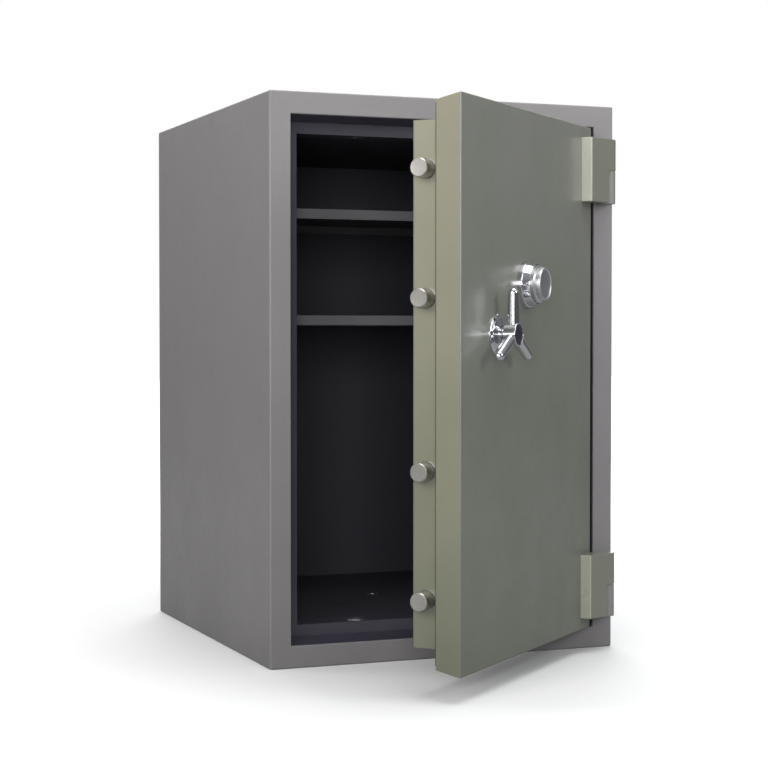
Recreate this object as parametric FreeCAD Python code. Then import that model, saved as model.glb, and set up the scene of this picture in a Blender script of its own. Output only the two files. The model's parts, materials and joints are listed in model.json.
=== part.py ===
"""Free-standing fire and burglary safe with an external-hinge door, wheel handle and combination dial.

Millimetres. X runs to the viewer's right, Y away from the viewer, Z up. The origin is on the floor at the
middle of the body, and the door is on the -Y side. Door pieces are drawn shut and then swung to the rest
angle about the hinge pins. A depth is measured inwards from the body's front plane, and an inset is
measured inwards from the body's outer faces.
"""

import FreeCAD, Part

import math
import os

V = FreeCAD.Vector

# ---- body ----
BODY_WIDTH = 704.0
BODY_DEPTH = 774.0
BODY_HEIGHT = 1055.0
SHELL_T = 5.0
SHELL_EDGE_R = 3.0
RIM = 41.0
RECESS_TAPER = 9.0
STEP = 21.0
JAMB_T = 4.0
STEP_PLATE_T = 6.0
JAMB_BEHIND_PLUG = 4.0
LINER_T = 2.5
BACK_WALL = 66.0
ANCHOR_BORE_R = 8.0
ANCHOR_TUBE_R = 12.0

# ---- shelves ----
SHELF_DROPS = {"shelf_upper": 129.5, "shelf_lower": 335.0}
SHELF_T = 2.0
SHELF_LIP = 19.0
SHELF_RETURN = 14.0
SHELF_SIDE_GAP = 1.5
SHELF_BEHIND_JAMB = 63.0
SHELF_BACK_GAP = 8.0
BRACKET_LONG = 40.0
BRACKET_LEG = 16.0
BRACKET_T = 2.0
BRACKET_INSET = 60.0

# ---- door slab and plug ----
DOOR_GAP = 4.0
SLAB_T = 49.0
SLAB_TAPER = 9.0
SLAB_FRONT_T = 6.0
SLAB_SIDE_T = 4.0
SLAB_EDGE_R = 2.0
PLUG_INSET = 30.0
PLUG_BASE_T = 3.0
PLUG_WALL_T = 3.0
PLUG_FLANGE = 18.0
COVER_T = 2.0
HARD_PLATE_T = 8.0
HARD_PLATE_MARGIN = 60.0
SEAL_T = 4.0
SEAL_WIDTH = 12.0
SEAL_INSET = 6.0
SEAL_GAP = 2.0

# ---- hinges ----
PIN_FROM_SIDE = 26.0
PIN_PROUD = 26.0
PIN_R = 8.0
KNUCKLE_R = 16.0
LUG_R = 15.5
LEAF_HEIGHT = 122.0
LEAF_REACH = 70.0
LEAF_PROUD = 20.0
LEAF_EDGE_R = 1.5
LEAF_CUT = 20.0
HINGE_FROM_END = 83.5
WASHER_T = 1.5
WASHER_R = 14.0
PIN_TOP_COVER = 8.0
PIN_TOP_GAP = 1.0
LUG_WEB = 9.0
LUG_DROP = 1.5
REST_OPEN_DEG = 41.7

# ---- bolts ----
BOLT_R = 16.0
BOLT_CHAMFER = 1.5
BOLT_FRONT_GAP = 16.0
BOLT_REAR_GAP = 8.0
BOLT_THROW = 31.0
BOLT_TAIL = 30.0
SIDE_BOLT_FROM_END = (120.5, 337.0)
BOLT_HOLE_CLEAR = 1.5
STRIKE_CLEAR = 3.0
STRIKE_END_GAP = 8.0
GUIDE_LONG = 20.0
GUIDE_HALF = 26.0

# ---- handle ----
HANDLE_FROM_EDGE = 89.0
HANDLE_ABOVE_MID = 84.5
SPINDLE_R = 9.0
BUSH_R = 13.0
BUSH_REAR = 7.0
ROSETTE_R = 35.0
ROSETTE_H = 9.0
ROSETTE_RIM_H = 2.0
ROSETTE_STEP = 2.0
ROSETTE_STEP_H = 3.5
ROSETTE_DOME = 12.0
ROSETTE_DOME_H = 6.5
ROSETTE_COLLAR = 3.0
HUB_R = 20.0
HUB_NECK_R = 13.0
HUB_FRONT = 41.0
HUB_FLARE = 19.4
HUB_FLARE_LONG = 8.0
HUB_EDGE = 1.0
CAP_R = 17.8
CAP_T = 2.5
SPOKE_REACH = 80.0
SPOKE_ROOT_R = 10.3
SPOKE_TIP_R = 9.0
SPOKE_PROUD = 30.0
SPOKE_COUNT = 3

# ---- cam, crank pins and rods ----
TURN_DEG = 60.0
CRANK_R = BOLT_THROW / (2 * math.sin(math.radians(TURN_DEG / 2)))
CAM_T = 7.0
CAM_GAP = 1.0
CAM_EDGE = 5.0
CRANK_PIN_R = 6.0
SLOT_CLEAR = 0.5
SPINDLE_NUT_R = 12.0
SPINDLE_NUT_T = 5.0
ARM_GAP = 2.0
ROD_T = 6.0
TOP_ROD_GAP = 6.0
BOTTOM_ROD_GAP = 2.0
PIN_END_GAP = 1.0
ARM_PIN_GAP = 1.0
ARM_TOP_EDGE = 7.5
ARM_BOSS_EDGE = 6.35
ARM_BOSS_SIDE = 10.5
ROD_HALF = 10.0
YOKE_SIDE = 7.5
YOKE_END = 6.0
BAR_T = 6.0
BAR_HALF = 14.0
BAR_OVERRUN = 20.0
ROD_GUIDE_CLEAR = 0.5
ROD_GUIDE_WALL = 5.0
TOP_GUIDE_BELOW_BOLT = 119.0
BOTTOM_GUIDE_ABOVE_BOLT = 248.0

# ---- dial and combination lock ----
DIAL_FROM_HANDLE = 130.0
DIAL_ABOVE_MID = 173.5
RING_R = 41.5
RING_H = 22.0
RING_BORE_R = 27.0
RING_WALL_H = 8.0
RING_EDGE = 1.0
RING_STEP = 2.0
RING_SLOPE = 6.0
DIAL_BACK = 22.5
DIAL_SKIRT_R = 33.2
DIAL_KNOB_R = 29.5
DIAL_FRONT = 38.5
DIAL_RECESS_R = 26.5
DIAL_RECESS = 2.0
DIAL_HUB_R = 12.0
DIAL_DOOR_GAP = 1.0
DIAL_KNOB_ROOT = 1.5
DIAL_EDGE = 1.0
DIAL_SKIRT_T = 5.0
DIAL_SPINDLE_R = 4.0
DIAL_TUBE_R = 8.0
RUN_CLEAR = 0.05
LOOSE_CLEAR = 0.5
LOCK_HALF_X = 35.0
LOCK_BELOW = 42.0
LOCK_ABOVE_ARM = 2.0
LOCK_ABOVE = 50.0
LOCK_DEPTH = 30.0
LOCK_WALL = 4.0
LOCK_COVER_T = 2.0
LOCK_BOSS_R = 5.0
LOCK_SCREW_R = 2.0
LOCK_SCREW_LONG = 10.0
LOCK_SCREW_HEAD_R = 3.5
LOCK_SCREW_HEAD_H = 2.0
POST_R = 6.0
WHEEL_R = 24.0
WHEEL_T = 2.0
WHEEL_PITCH = 3.5
WHEEL_COUNT = 3
WHEEL_GATE_HALF = 3.5
WHEEL_GATE_DEEP = 6.0
WHEEL_GAP = 1.0
CAM_WHEEL_R = 18.0
CAM_WHEEL_T = 2.5
CAM_NOTCH_HALF = 3.0
CAM_NOTCH_DEEP = 5.0
LOCK_BOLT_AHEAD = 2.0
LOCK_BOLT_HALF = 12.5
LOCK_BOLT_T = 9.0
LOCK_TRAVEL = 10.0
LOCK_BOLT_LONG = 27.0
LEVER_T = 2.0
LEVER_WIDTH = 7.0
LEVER_SIDE_GAP = 6.0
FENCE_HALF = 3.0
FENCE_T = 4.0
FENCE_ABOVE = 6.0

# ---- dead bar ----
DEAD_REACH = 21.0
DEAD_BEHIND_SLAB = 30.0
DEAD_T = 16.0
DEAD_FROM_END = 152.5
DEAD_SLOT_CLEAR = 4.0
DEAD_SLOT_FRONT = 7.0
DEAD_SCREWS = 5
DEAD_SCREW_FROM_END = 22.0

# ---- screws ----
SCREW_R = 3.0
SCREW_HEAD_R = 5.5
SCREW_HEAD_H = 2.5
SUNK_HEAD_H = 6.0
SCREW_BITE = 20.0
COVER_SCREWS_WIDE = 3
COVER_SCREWS_HIGH = 5

# ---- how far a cutter runs past what it cuts, and how near a face an edge is picked ----
OVER = 1.0
PICK = 1.0

# ---- worked out once from the values above ----
HALF_W = BODY_WIDTH / 2
FRONT_Y = -BODY_DEPTH / 2
RECESS_DEPTH = SLAB_T + SEAL_T + SEAL_GAP
PLUG_DEPTH = BOLT_FRONT_GAP + 2 * BOLT_R + BOLT_REAR_GAP
JAMB_RETURN = PLUG_DEPTH + JAMB_BEHIND_PLUG
JAMB_INSET = RIM + RECESS_TAPER + STEP
JAMB_REAR = RECESS_DEPTH + JAMB_RETURN
INSIDE_REAR = BODY_DEPTH - BACK_WALL
INSIDE_TOP = BODY_HEIGHT - JAMB_INSET
SHELF_TOPS = {name: INSIDE_TOP - drop for name, drop in SHELF_DROPS.items()}
SHELF_SETBACK = JAMB_REAR + SHELF_BEHIND_JAMB
SLAB_INSET = RIM + DOOR_GAP
PLUG_SIDE_INSET = SLAB_INSET + SLAB_TAPER + PLUG_INSET
PLUG_REAR = SLAB_T + PLUG_DEPTH
COVER_FRONT = PLUG_REAR - COVER_T
BASE_FRONT = SLAB_T - PLUG_BASE_T
DOOR_MID_Z = BODY_HEIGHT / 2
SLAB_HALF_HEIGHT = DOOR_MID_Z - SLAB_INSET
HINGE_OFFSET = SLAB_HALF_HEIGHT - HINGE_FROM_END
DEAD_HALF = SLAB_HALF_HEIGHT - DEAD_FROM_END
DEAD_FRONT = SLAB_T + DEAD_BEHIND_SLAB
BOLT_DEPTH = SLAB_T + BOLT_FRONT_GAP + BOLT_R
STRIKE_POCKET = BOLT_THROW - (PLUG_SIDE_INSET - JAMB_INSET) + STRIKE_END_GAP
HANDLE_X = -HALF_W + SLAB_INSET + 2 * BOLT_THROW + HANDLE_FROM_EDGE
HANDLE_Z = DOOR_MID_Z + HANDLE_ABOVE_MID
CRANK_HALF_DEG = TURN_DEG / 2
PIN_SLOT_HALF = CRANK_PIN_R + SLOT_CLEAR
PIN_RISE = CRANK_R * math.sin(math.radians(CRANK_HALF_DEG))
PIN_LIFT = CRANK_R * math.cos(math.radians(CRANK_HALF_DEG))
ARM_LOW = HANDLE_Z + PIN_RISE + CRANK_PIN_R + ARM_PIN_GAP
ARM_HIGH = HANDLE_Z + CRANK_R + PIN_SLOT_HALF + ARM_TOP_EDGE
ARM_BOSS_LOW = HANDLE_Z + PIN_LIFT - PIN_SLOT_HALF - ARM_BOSS_EDGE
DIAL_X = HANDLE_X + DIAL_FROM_HANDLE
DIAL_Z = DOOR_MID_Z + DIAL_ABOVE_MID
PIN_X = HALF_W - PIN_FROM_SIDE
PIN_Y = FRONT_Y - PIN_PROUD
PLUG_LEFT = -HALF_W + PLUG_SIDE_INSET
PLUG_TOP = BODY_HEIGHT - PLUG_SIDE_INSET
PLUG_BOTTOM = PLUG_SIDE_INSET
BOLT_LONG = BOLT_THROW + BOLT_TAIL
TOP_BOLT_INNER = PLUG_TOP + BOLT_THROW - BOLT_LONG
BOTTOM_BOLT_INNER = PLUG_BOTTOM - BOLT_THROW + BOLT_LONG
CAM_R = CRANK_R + CRANK_PIN_R + CAM_EDGE
CAM_FRONT = SLAB_T + BUSH_REAR + CAM_GAP
ARM_FRONT = CAM_FRONT + CAM_T + ARM_GAP
TOP_ROD_FRONT = ARM_FRONT + ROD_T + TOP_ROD_GAP
BOTTOM_ROD_FRONT = TOP_ROD_FRONT + ROD_T + BOTTOM_ROD_GAP
LOCK_REAR = SLAB_T + LOCK_DEPTH
LOCK_BOTTOM = DIAL_Z - LOCK_BELOW
ARM_TAIL_HIGH = LOCK_BOTTOM - LOCK_ABOVE_ARM
LOCK_BOLT_FRONT = ARM_FRONT - LOCK_BOLT_AHEAD
LEVER_FRONT = LOCK_BOLT_FRONT + LOCK_BOLT_T
CAM_WHEEL_FRONT = LEVER_FRONT + LEVER_T + WHEEL_GAP

SAVED = []


def save(name, shape):
    """Write one node as a STEP file."""
    shape.exportStep(os.path.join("parts", name + ".step"))
    SAVED.append(name)


def box(x0, x1, d0, d1, z0, z1):
    """A box between two X places, two depths and two heights."""
    return Part.makeBox(x1 - x0, d1 - d0, z1 - z0, V(x0, FRONT_Y + d0, z0))


def cyl_x(r, x0, x1, depth, z):
    """A round bar along X."""
    return Part.makeCylinder(r, x1 - x0, V(x0, FRONT_Y + depth, z), V(1, 0, 0))


def cyl_z(r, z0, z1, x, depth):
    """A round bar along Z."""
    return Part.makeCylinder(r, z1 - z0, V(x, FRONT_Y + depth, z0), V(0, 0, 1))


def cyl_d(r, d0, d1, x, z):
    """A round bar along the depth."""
    return Part.makeCylinder(r, d1 - d0, V(x, FRONT_Y + d0, z), V(0, 1, 0))


def inset_rect(inset):
    """The body's outline pulled in by an inset, as X low, X high, Z low, Z high."""
    return (-HALF_W + inset, HALF_W - inset, inset, BODY_HEIGHT - inset)


def inset_box(inset, d0, d1):
    """A box of the body's outline pulled in by an inset."""
    x0, x1, z0, z1 = inset_rect(inset)
    return box(x0, x1, d0, d1, z0, z1)


def frustum(inset0, d0, inset1, d1):
    """A block whose four sides slope from one inset to another between two depths."""
    corners = []
    for inset, depth in ((inset0, d0), (inset1, d1)):
        x0, x1, z0, z1 = inset_rect(inset)
        y = FRONT_Y + depth
        corners.append([V(x0, y, z0), V(x1, y, z0), V(x1, y, z1), V(x0, y, z1)])
    near, far = corners
    loops = [near, far]
    for i in range(4):
        j = (i + 1) % 4
        loops.append([near[i], near[j], far[j], far[i]])
    faces = [Part.Face(Part.makePolygon(loop + [loop[0]])) for loop in loops]
    solid = Part.Solid(Part.Shell(faces))
    if solid.Volume < 0:
        solid.reverse()
    return solid


def revolve(profile, x, z):
    """Turn a profile of (radius, depth) points about a line along the depth."""
    points = [V(x + r, FRONT_Y + d, z) for r, d in profile]
    face = Part.Face(Part.makePolygon(points + [points[0]]))
    return face.revolve(V(x, FRONT_Y, z), V(0, 1, 0), 360)


def prism_d(points, d0, d1):
    """Push an outline of (x, z) points from one depth to another."""
    loop = [V(x, FRONT_Y + d0, z) for x, z in points]
    face = Part.Face(Part.makePolygon(loop + [loop[0]]))
    return face.extrude(V(0, d1 - d0, 0))


def at_rest(shape):
    """Swing a piece of the shut door to the rest angle."""
    turned = shape.copy()
    turned.rotate(V(PIN_X, PIN_Y, 0), V(0, 0, 1), REST_OPEN_DEG)
    return turned


def save_door(name, shape):
    """Write a door piece at the rest angle."""
    save(name, at_rest(shape))


def group(solids):
    """Separate solids in one node."""
    return Part.makeCompound(solids)


def edges_at(shape, test):
    """Edges whose middle passes a test."""
    return [e for e in shape.Edges if test(e.CenterOfMass)]


# ---------------------------------------------------------------- body

def side_bolt_heights():
    """Heights of the side bolts from the top down."""
    offsets = [SLAB_HALF_HEIGHT - from_end for from_end in SIDE_BOLT_FROM_END]
    return [DOOR_MID_Z + offset for offset in offsets + [-offset for offset in reversed(offsets)]]


def strike_cutters(reach):
    """Round bars that open the jamb where the thrown bolts enter."""
    r = BOLT_R + STRIKE_CLEAR
    inner = JAMB_INSET + OVER
    bars = []
    for z in side_bolt_heights():
        bars.append(cyl_x(r, -HALF_W + JAMB_INSET - reach, -HALF_W + inner, BOLT_DEPTH, z))
    top = BODY_HEIGHT - JAMB_INSET
    bars.append(cyl_z(r, top - OVER, top + reach, HANDLE_X, BOLT_DEPTH))
    bars.append(cyl_z(r, JAMB_INSET - reach, inner, HANDLE_X, BOLT_DEPTH))
    return bars


def dead_slot(reach):
    """The slot in the hinge-side jamb that the dead bar swings into."""
    inner = HALF_W - JAMB_INSET
    half = DEAD_HALF + DEAD_SLOT_CLEAR
    rear = DEAD_FRONT + DEAD_T + DEAD_SLOT_CLEAR
    front = DEAD_FRONT - DEAD_SLOT_FRONT
    return box(inner - OVER, inner + reach, front, rear, DOOR_MID_Z - half, DOOR_MID_Z + half)


def recess_inset(depth):
    """Inset of the tapered recess wall at a depth."""
    return RIM + RECESS_TAPER * depth / RECESS_DEPTH


def anchor_hole(r, z0, z1):
    """A hole down the middle of the floor."""
    return Part.makeCylinder(r, z1 - z0, V(0, 0, z0))


def floor_sheet(inset, d0, d1, z0, z1):
    """A flat sheet between two depths and two heights, with the anchor's hole."""
    sheet = box(-HALF_W + inset, HALF_W - inset, d0, d1, z0, z1)
    return sheet.cut(anchor_hole(ANCHOR_TUBE_R, z0 - OVER, z1 + OVER))


def outer_shell():
    """Welded outer case: top, sides, back and the front rim."""
    case = inset_box(0.0, 0.0, BODY_DEPTH)
    case = case.makeFillet(SHELL_EDGE_R, case.Edges)
    case = case.cut(inset_box(SHELL_T, SHELL_T, BODY_DEPTH - SHELL_T))
    x = HALF_W - SHELL_T
    case = case.cut(box(-x, x, SHELL_T, BODY_DEPTH - SHELL_T, -OVER, SHELL_T + OVER))
    mouth = frustum(recess_inset(-OVER), -OVER, recess_inset(SHELL_T + OVER), SHELL_T + OVER)
    return case.cut(mouth)


def base_plate():
    """Bottom plate welded inside the case."""
    return floor_sheet(SHELL_T, SHELL_T, BODY_DEPTH - SHELL_T, 0.0, SHELL_T)


def jamb_envelope():
    """Outside of the jamb frame, before it is hollowed."""
    rear = RECESS_DEPTH + STEP_PLATE_T
    tapered = frustum(recess_inset(SHELL_T) - JAMB_T, SHELL_T, recess_inset(rear) - JAMB_T, rear)
    return tapered.fuse(inset_box(JAMB_INSET - JAMB_T, rear, JAMB_REAR)).removeSplitter()


def jamb_frame():
    """Recess walls, step plate and return, with the strike holes and the dead-bar slot."""
    recess = frustum(recess_inset(0.0), 0.0, recess_inset(RECESS_DEPTH), RECESS_DEPTH)
    throat = inset_box(JAMB_INSET, RECESS_DEPTH - OVER, JAMB_REAR + OVER)
    frame = jamb_envelope().cut(recess).cut(throat)
    for bar in strike_cutters(JAMB_T + OVER):
        frame = frame.cut(bar)
    return frame.cut(dead_slot(JAMB_T + OVER))


def liner_envelope():
    """Outside of the inner liner."""
    return inset_box(JAMB_INSET - LINER_T, JAMB_REAR, INSIDE_REAR + LINER_T)


def inner_liner():
    """Folded sheet that lines the top, sides and back behind the jamb."""
    liner = liner_envelope().cut(inset_box(JAMB_INSET, JAMB_REAR - OVER, INSIDE_REAR))
    x = HALF_W - JAMB_INSET
    floor = box(-x, x, JAMB_REAR - OVER, INSIDE_REAR, JAMB_INSET - LINER_T - OVER, JAMB_INSET + OVER)
    return liner.cut(floor)


def liner_floor():
    """Floor sheet of the lining."""
    return floor_sheet(JAMB_INSET, JAMB_REAR, INSIDE_REAR, JAMB_INSET - LINER_T, JAMB_INSET)


def barrier_fill():
    """Cast fill between the outer case and the linings, with pockets for the bolts."""
    fill = inset_box(SHELL_T, SHELL_T, BODY_DEPTH - SHELL_T)
    fill = fill.cut(jamb_envelope()).cut(liner_envelope())
    fill = fill.cut(inset_box(JAMB_INSET, JAMB_REAR - OVER, JAMB_REAR + OVER))
    for bar in strike_cutters(STRIKE_POCKET):
        fill = fill.cut(bar)
    fill = fill.cut(dead_slot(DEAD_REACH))
    return fill.cut(anchor_hole(ANCHOR_TUBE_R, 0.0, JAMB_INSET))


def anchor_sleeve():
    """Tube through the floor for the holding-down bolt."""
    tube = anchor_hole(ANCHOR_TUBE_R, 0.0, JAMB_INSET)
    return tube.cut(anchor_hole(ANCHOR_BORE_R, -OVER, JAMB_INSET + OVER))


def shelf(top):
    """Sheet shelf with turned-down lips and a return along its front and back."""
    x = HALF_W - JAMB_INSET - SHELF_SIDE_GAP
    front = SHELF_SETBACK
    rear = INSIDE_REAR - SHELF_BACK_GAP
    low = top - SHELF_LIP
    tray = box(-x, x, front, rear, low, top)
    under = box(-x + SHELF_T, x - SHELF_T, front + SHELF_T, rear - SHELF_T, low - OVER, top - SHELF_T)
    tray = tray.cut(under)
    inner_x = x - SHELF_T
    for d0 in (front, rear - SHELF_RETURN):
        tray = tray.fuse(box(-inner_x, inner_x, d0, d0 + SHELF_RETURN, low, low + SHELF_T))
    return tray.removeSplitter()


def shelf_brackets():
    """Angle brackets that carry the shelves, two to a side under each shelf."""
    wall = HALF_W - JAMB_INSET
    rear_end = INSIDE_REAR - SHELF_BACK_GAP
    starts = (SHELF_SETBACK + BRACKET_INSET, rear_end - BRACKET_INSET - BRACKET_LONG)
    solids = []
    for top in SHELF_TOPS.values():
        seat = top - SHELF_LIP
        for side in (-1, 1):
            for d0 in starts:
                leg = box(wall - BRACKET_LEG, wall, d0, d0 + BRACKET_LONG, seat - BRACKET_T, seat)
                back = box(wall - BRACKET_T, wall, d0, d0 + BRACKET_LONG, seat - BRACKET_LEG, seat)
                angle = leg.fuse(back).removeSplitter()
                if side < 0:
                    angle = angle.mirror(V(0, 0, 0), V(1, 0, 0))
                solids.append(angle)
    return group(solids)


# ---------------------------------------------------------------- hinges

def hinge_middles():
    """Name and middle height of each hinge."""
    return {"upper": DOOR_MID_Z + HINGE_OFFSET, "lower": DOOR_MID_Z - HINGE_OFFSET}


def pin_bar(r, z0, z1):
    """A round bar on the hinge line."""
    return Part.makeCylinder(r, z1 - z0, V(PIN_X, PIN_Y, z0))


def leaf_outline():
    """Plan of the hinge leaf: door face, outer slope tangent to the knuckle, knuckle and back."""
    x0 = PIN_X - LEAF_REACH
    start = V(x0 - PIN_X, PIN_PROUD - LEAF_PROUD, 0)
    slope = math.atan2(-start.y, -start.x) - math.asin(KNUCKLE_R / start.Length)
    touch = V(KNUCKLE_R * math.sin(slope), -KNUCKLE_R * math.cos(slope), 0)
    outer = V(KNUCKLE_R, 0, 0)
    back = V(0, KNUCKLE_R, 0)
    slab_edge = HALF_W - SLAB_INSET - PIN_X - SLAB_EDGE_R
    face_end = V(slab_edge, PIN_PROUD, 0)
    face_start = V(start.x, PIN_PROUD, 0)
    edges = [Part.LineSegment(face_start, start).toShape(), Part.LineSegment(start, touch).toShape()]
    edges.append(Part.Arc(touch, outer, back).toShape())
    edges.append(Part.LineSegment(back, face_end).toShape())
    edges.append(Part.LineSegment(face_end, face_start).toShape())
    wire = Part.Wire(edges)
    wire.translate(V(PIN_X, PIN_Y, 0))
    return wire


def hinge_leaf(middle):
    """Door half of a hinge, with its knuckle in the upper half only."""
    low = middle - LEAF_HEIGHT / 2
    high = middle + LEAF_HEIGHT / 2
    wire = leaf_outline()
    wire.translate(V(0, 0, low))
    leaf = Part.Face(wire).extrude(V(0, 0, LEAF_HEIGHT))
    rim_edges = edges_at(leaf, lambda c: c.y < PIN_Y + PIN_PROUD - PICK and c.x < PIN_X - KNUCKLE_R)
    leaf = leaf.makeFillet(LEAF_EDGE_R, rim_edges)
    cut_top = middle + WASHER_T / 2
    cutter = Part.makeBox(LEAF_CUT + 2 * KNUCKLE_R, 4 * KNUCKLE_R, cut_top - low + OVER,
                          V(PIN_X - LEAF_CUT, PIN_Y - 2 * KNUCKLE_R, low - OVER))
    leaf = leaf.cut(cutter)
    return leaf.cut(pin_bar(PIN_R + RUN_CLEAR, low - OVER, high - PIN_TOP_COVER))


def hinge_lug(middle):
    """Body half of a hinge: a short knuckle on a web welded to the rim."""
    low = middle - LEAF_HEIGHT / 2 - LUG_DROP
    high = middle - WASHER_T / 2
    web = Part.makeBox(LUG_WEB + LUG_R, PIN_PROUD, high - low, V(PIN_X - LUG_WEB, PIN_Y, low))
    lug = pin_bar(LUG_R, low, high).fuse(web).removeSplitter()
    return lug.cut(pin_bar(PIN_R, low - OVER, high + OVER))


def hinge_pin(middle):
    """Pin pressed into the lug, with the leaf turning on its upper half."""
    low = middle - LEAF_HEIGHT / 2 - LUG_DROP
    high = middle + LEAF_HEIGHT / 2 - PIN_TOP_COVER - PIN_TOP_GAP
    return pin_bar(PIN_R, low, high)


def hinge_washer(middle):
    """Thrust washer between the lug and the leaf."""
    z0 = middle - WASHER_T / 2
    z1 = middle + WASHER_T / 2
    return pin_bar(WASHER_R, z0, z1).cut(pin_bar(PIN_R, z0 - OVER, z1 + OVER))


# ---------------------------------------------------------------- door

def slab_inset(depth):
    """Inset of the slab's tapered edge at a depth."""
    return SLAB_INSET + SLAB_TAPER * depth / SLAB_T


def slab_inner(d0, d1):
    """The room inside the slab between two depths."""
    return frustum(slab_inset(d0) + SLAB_SIDE_T, d0, slab_inset(d1) + SLAB_SIDE_T, d1)


def door_front_pan():
    """Tapered steel pan that is the door's front and edges."""
    pan = frustum(slab_inset(0.0), 0.0, slab_inset(SLAB_T), SLAB_T)
    rounded = edges_at(pan, lambda c: c.y < FRONT_Y + SLAB_T - PICK)
    pan = pan.makeFillet(SLAB_EDGE_R, rounded)
    pan = pan.cut(slab_inner(SLAB_FRONT_T, SLAB_T + OVER))
    pan = pan.cut(cyl_d(BUSH_R, -OVER, SLAB_FRONT_T + OVER, HANDLE_X, HANDLE_Z))
    return pan.cut(cyl_d(DIAL_TUBE_R, -OVER, SLAB_FRONT_T + OVER, DIAL_X, DIAL_Z))


def hard_plate():
    """Drill-resisting plate behind the dial and the handle."""
    margin = HARD_PLATE_MARGIN
    front = BASE_FRONT - HARD_PLATE_T
    x0 = HANDLE_X - margin
    x1 = DIAL_X + margin
    plate = box(x0, x1, front, BASE_FRONT, HANDLE_Z - margin, DIAL_Z + margin)
    plate = plate.cut(cyl_d(BUSH_R, front - OVER, SLAB_T, HANDLE_X, HANDLE_Z))
    return plate.cut(cyl_d(DIAL_TUBE_R, front - OVER, SLAB_T, DIAL_X, DIAL_Z))


def door_fill(plate):
    """Cast fill inside the slab, round the hard plate and the two tubes."""
    fill = slab_inner(SLAB_FRONT_T, BASE_FRONT)
    x = plate.BoundBox
    fill = fill.cut(Part.makeBox(x.XLength, x.YLength + OVER, x.ZLength, V(x.XMin, x.YMin, x.ZMin)))
    fill = fill.cut(cyl_d(BUSH_R, 0.0, SLAB_T, HANDLE_X, HANDLE_Z))
    return fill.cut(cyl_d(DIAL_TUBE_R, 0.0, SLAB_T, DIAL_X, DIAL_Z))


def side_bolt_span():
    """X of the tip and of the inner end of a thrown side bolt."""
    tip = PLUG_LEFT - BOLT_THROW
    return tip, tip + BOLT_LONG


def door_plug_pan():
    """Base plate behind the slab with the raised plug walls that the bolts pass through."""
    pan = slab_inner(BASE_FRONT, SLAB_T)
    outer = inset_box(PLUG_SIDE_INSET, SLAB_T, COVER_FRONT)
    inner = inset_box(PLUG_SIDE_INSET + PLUG_WALL_T, SLAB_T, COVER_FRONT - PLUG_WALL_T)
    mouth = inset_box(PLUG_SIDE_INSET + PLUG_WALL_T + PLUG_FLANGE, SLAB_T, COVER_FRONT + OVER)
    pan = pan.fuse(outer.cut(inner).cut(mouth)).removeSplitter()
    r = BOLT_R + BOLT_HOLE_CLEAR
    for z in side_bolt_heights():
        pan = pan.cut(cyl_x(r, PLUG_LEFT - OVER, PLUG_LEFT + PLUG_WALL_T + OVER, BOLT_DEPTH, z))
    pan = pan.cut(cyl_z(r, PLUG_TOP - PLUG_WALL_T - OVER, PLUG_TOP + OVER, HANDLE_X, BOLT_DEPTH))
    pan = pan.cut(cyl_z(r, PLUG_BOTTOM - OVER, PLUG_BOTTOM + PLUG_WALL_T + OVER, HANDLE_X, BOLT_DEPTH))
    pan = pan.cut(cyl_d(BUSH_R, BASE_FRONT - OVER, SLAB_T + OVER, HANDLE_X, HANDLE_Z))
    pan = pan.cut(cyl_d(DIAL_TUBE_R, BASE_FRONT - OVER, SLAB_T + OVER, DIAL_X, DIAL_Z))
    for x, z in cover_screw_spots():
        pan = pan.cut(cyl_d(SCREW_R, COVER_FRONT - PLUG_WALL_T - OVER, COVER_FRONT + OVER, x, z))
    for z in dead_screw_heights():
        pan = pan.cut(cyl_x(SCREW_R, -PLUG_LEFT - PLUG_WALL_T - OVER, -PLUG_LEFT + OVER, dead_middle(), z))
    return pan


def cover_screw_spots():
    """Places of the cover screws round the plug's flange."""
    x0, x1, z0, z1 = inset_rect(PLUG_SIDE_INSET + PLUG_WALL_T + PLUG_FLANGE / 2)
    spots = []
    for i in range(COVER_SCREWS_HIGH):
        z = z0 + (z1 - z0) * i / (COVER_SCREWS_HIGH - 1)
        spots.append((x0, z))
        spots.append((x1, z))
    for i in range(1, COVER_SCREWS_WIDE - 1):
        x = x0 + (x1 - x0) * i / (COVER_SCREWS_WIDE - 1)
        spots.append((x, z0))
        spots.append((x, z1))
    return spots


def door_back_cover():
    """Flat sheet cover over the boltwork."""
    cover = inset_box(PLUG_SIDE_INSET, COVER_FRONT, PLUG_REAR)
    for x, z in cover_screw_spots():
        cover = cover.cut(cyl_d(SCREW_R, COVER_FRONT - OVER, PLUG_REAR + OVER, x, z))
    return cover


def cover_screws():
    """Pan-head screws through the cover and the flange."""
    solids = []
    for x, z in cover_screw_spots():
        shank = cyl_d(SCREW_R, COVER_FRONT - PLUG_WALL_T, PLUG_REAR, x, z)
        head = cyl_d(SCREW_HEAD_R, PLUG_REAR, PLUG_REAR + SCREW_HEAD_H, x, z)
        solids.append(shank.fuse(head).removeSplitter())
    return group(solids)


def fire_seal():
    """Expanding seal strip on the slab's back, facing the jamb's step."""
    inset = slab_inset(SLAB_T) + SEAL_INSET
    strip = inset_box(inset, SLAB_T, SLAB_T + SEAL_T)
    return strip.cut(inset_box(inset + SEAL_WIDTH, SLAB_T - OVER, SLAB_T + SEAL_T + OVER))


def dead_middle():
    """Depth of the middle of the dead bar."""
    return DEAD_FRONT + DEAD_T / 2


def dead_screw_heights():
    """Heights of the screws that hold the dead bar."""
    reach = 2 * (DEAD_HALF - DEAD_SCREW_FROM_END)
    low = DOOR_MID_Z - reach / 2
    return [low + reach * i / (DEAD_SCREWS - 1) for i in range(DEAD_SCREWS)]


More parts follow.
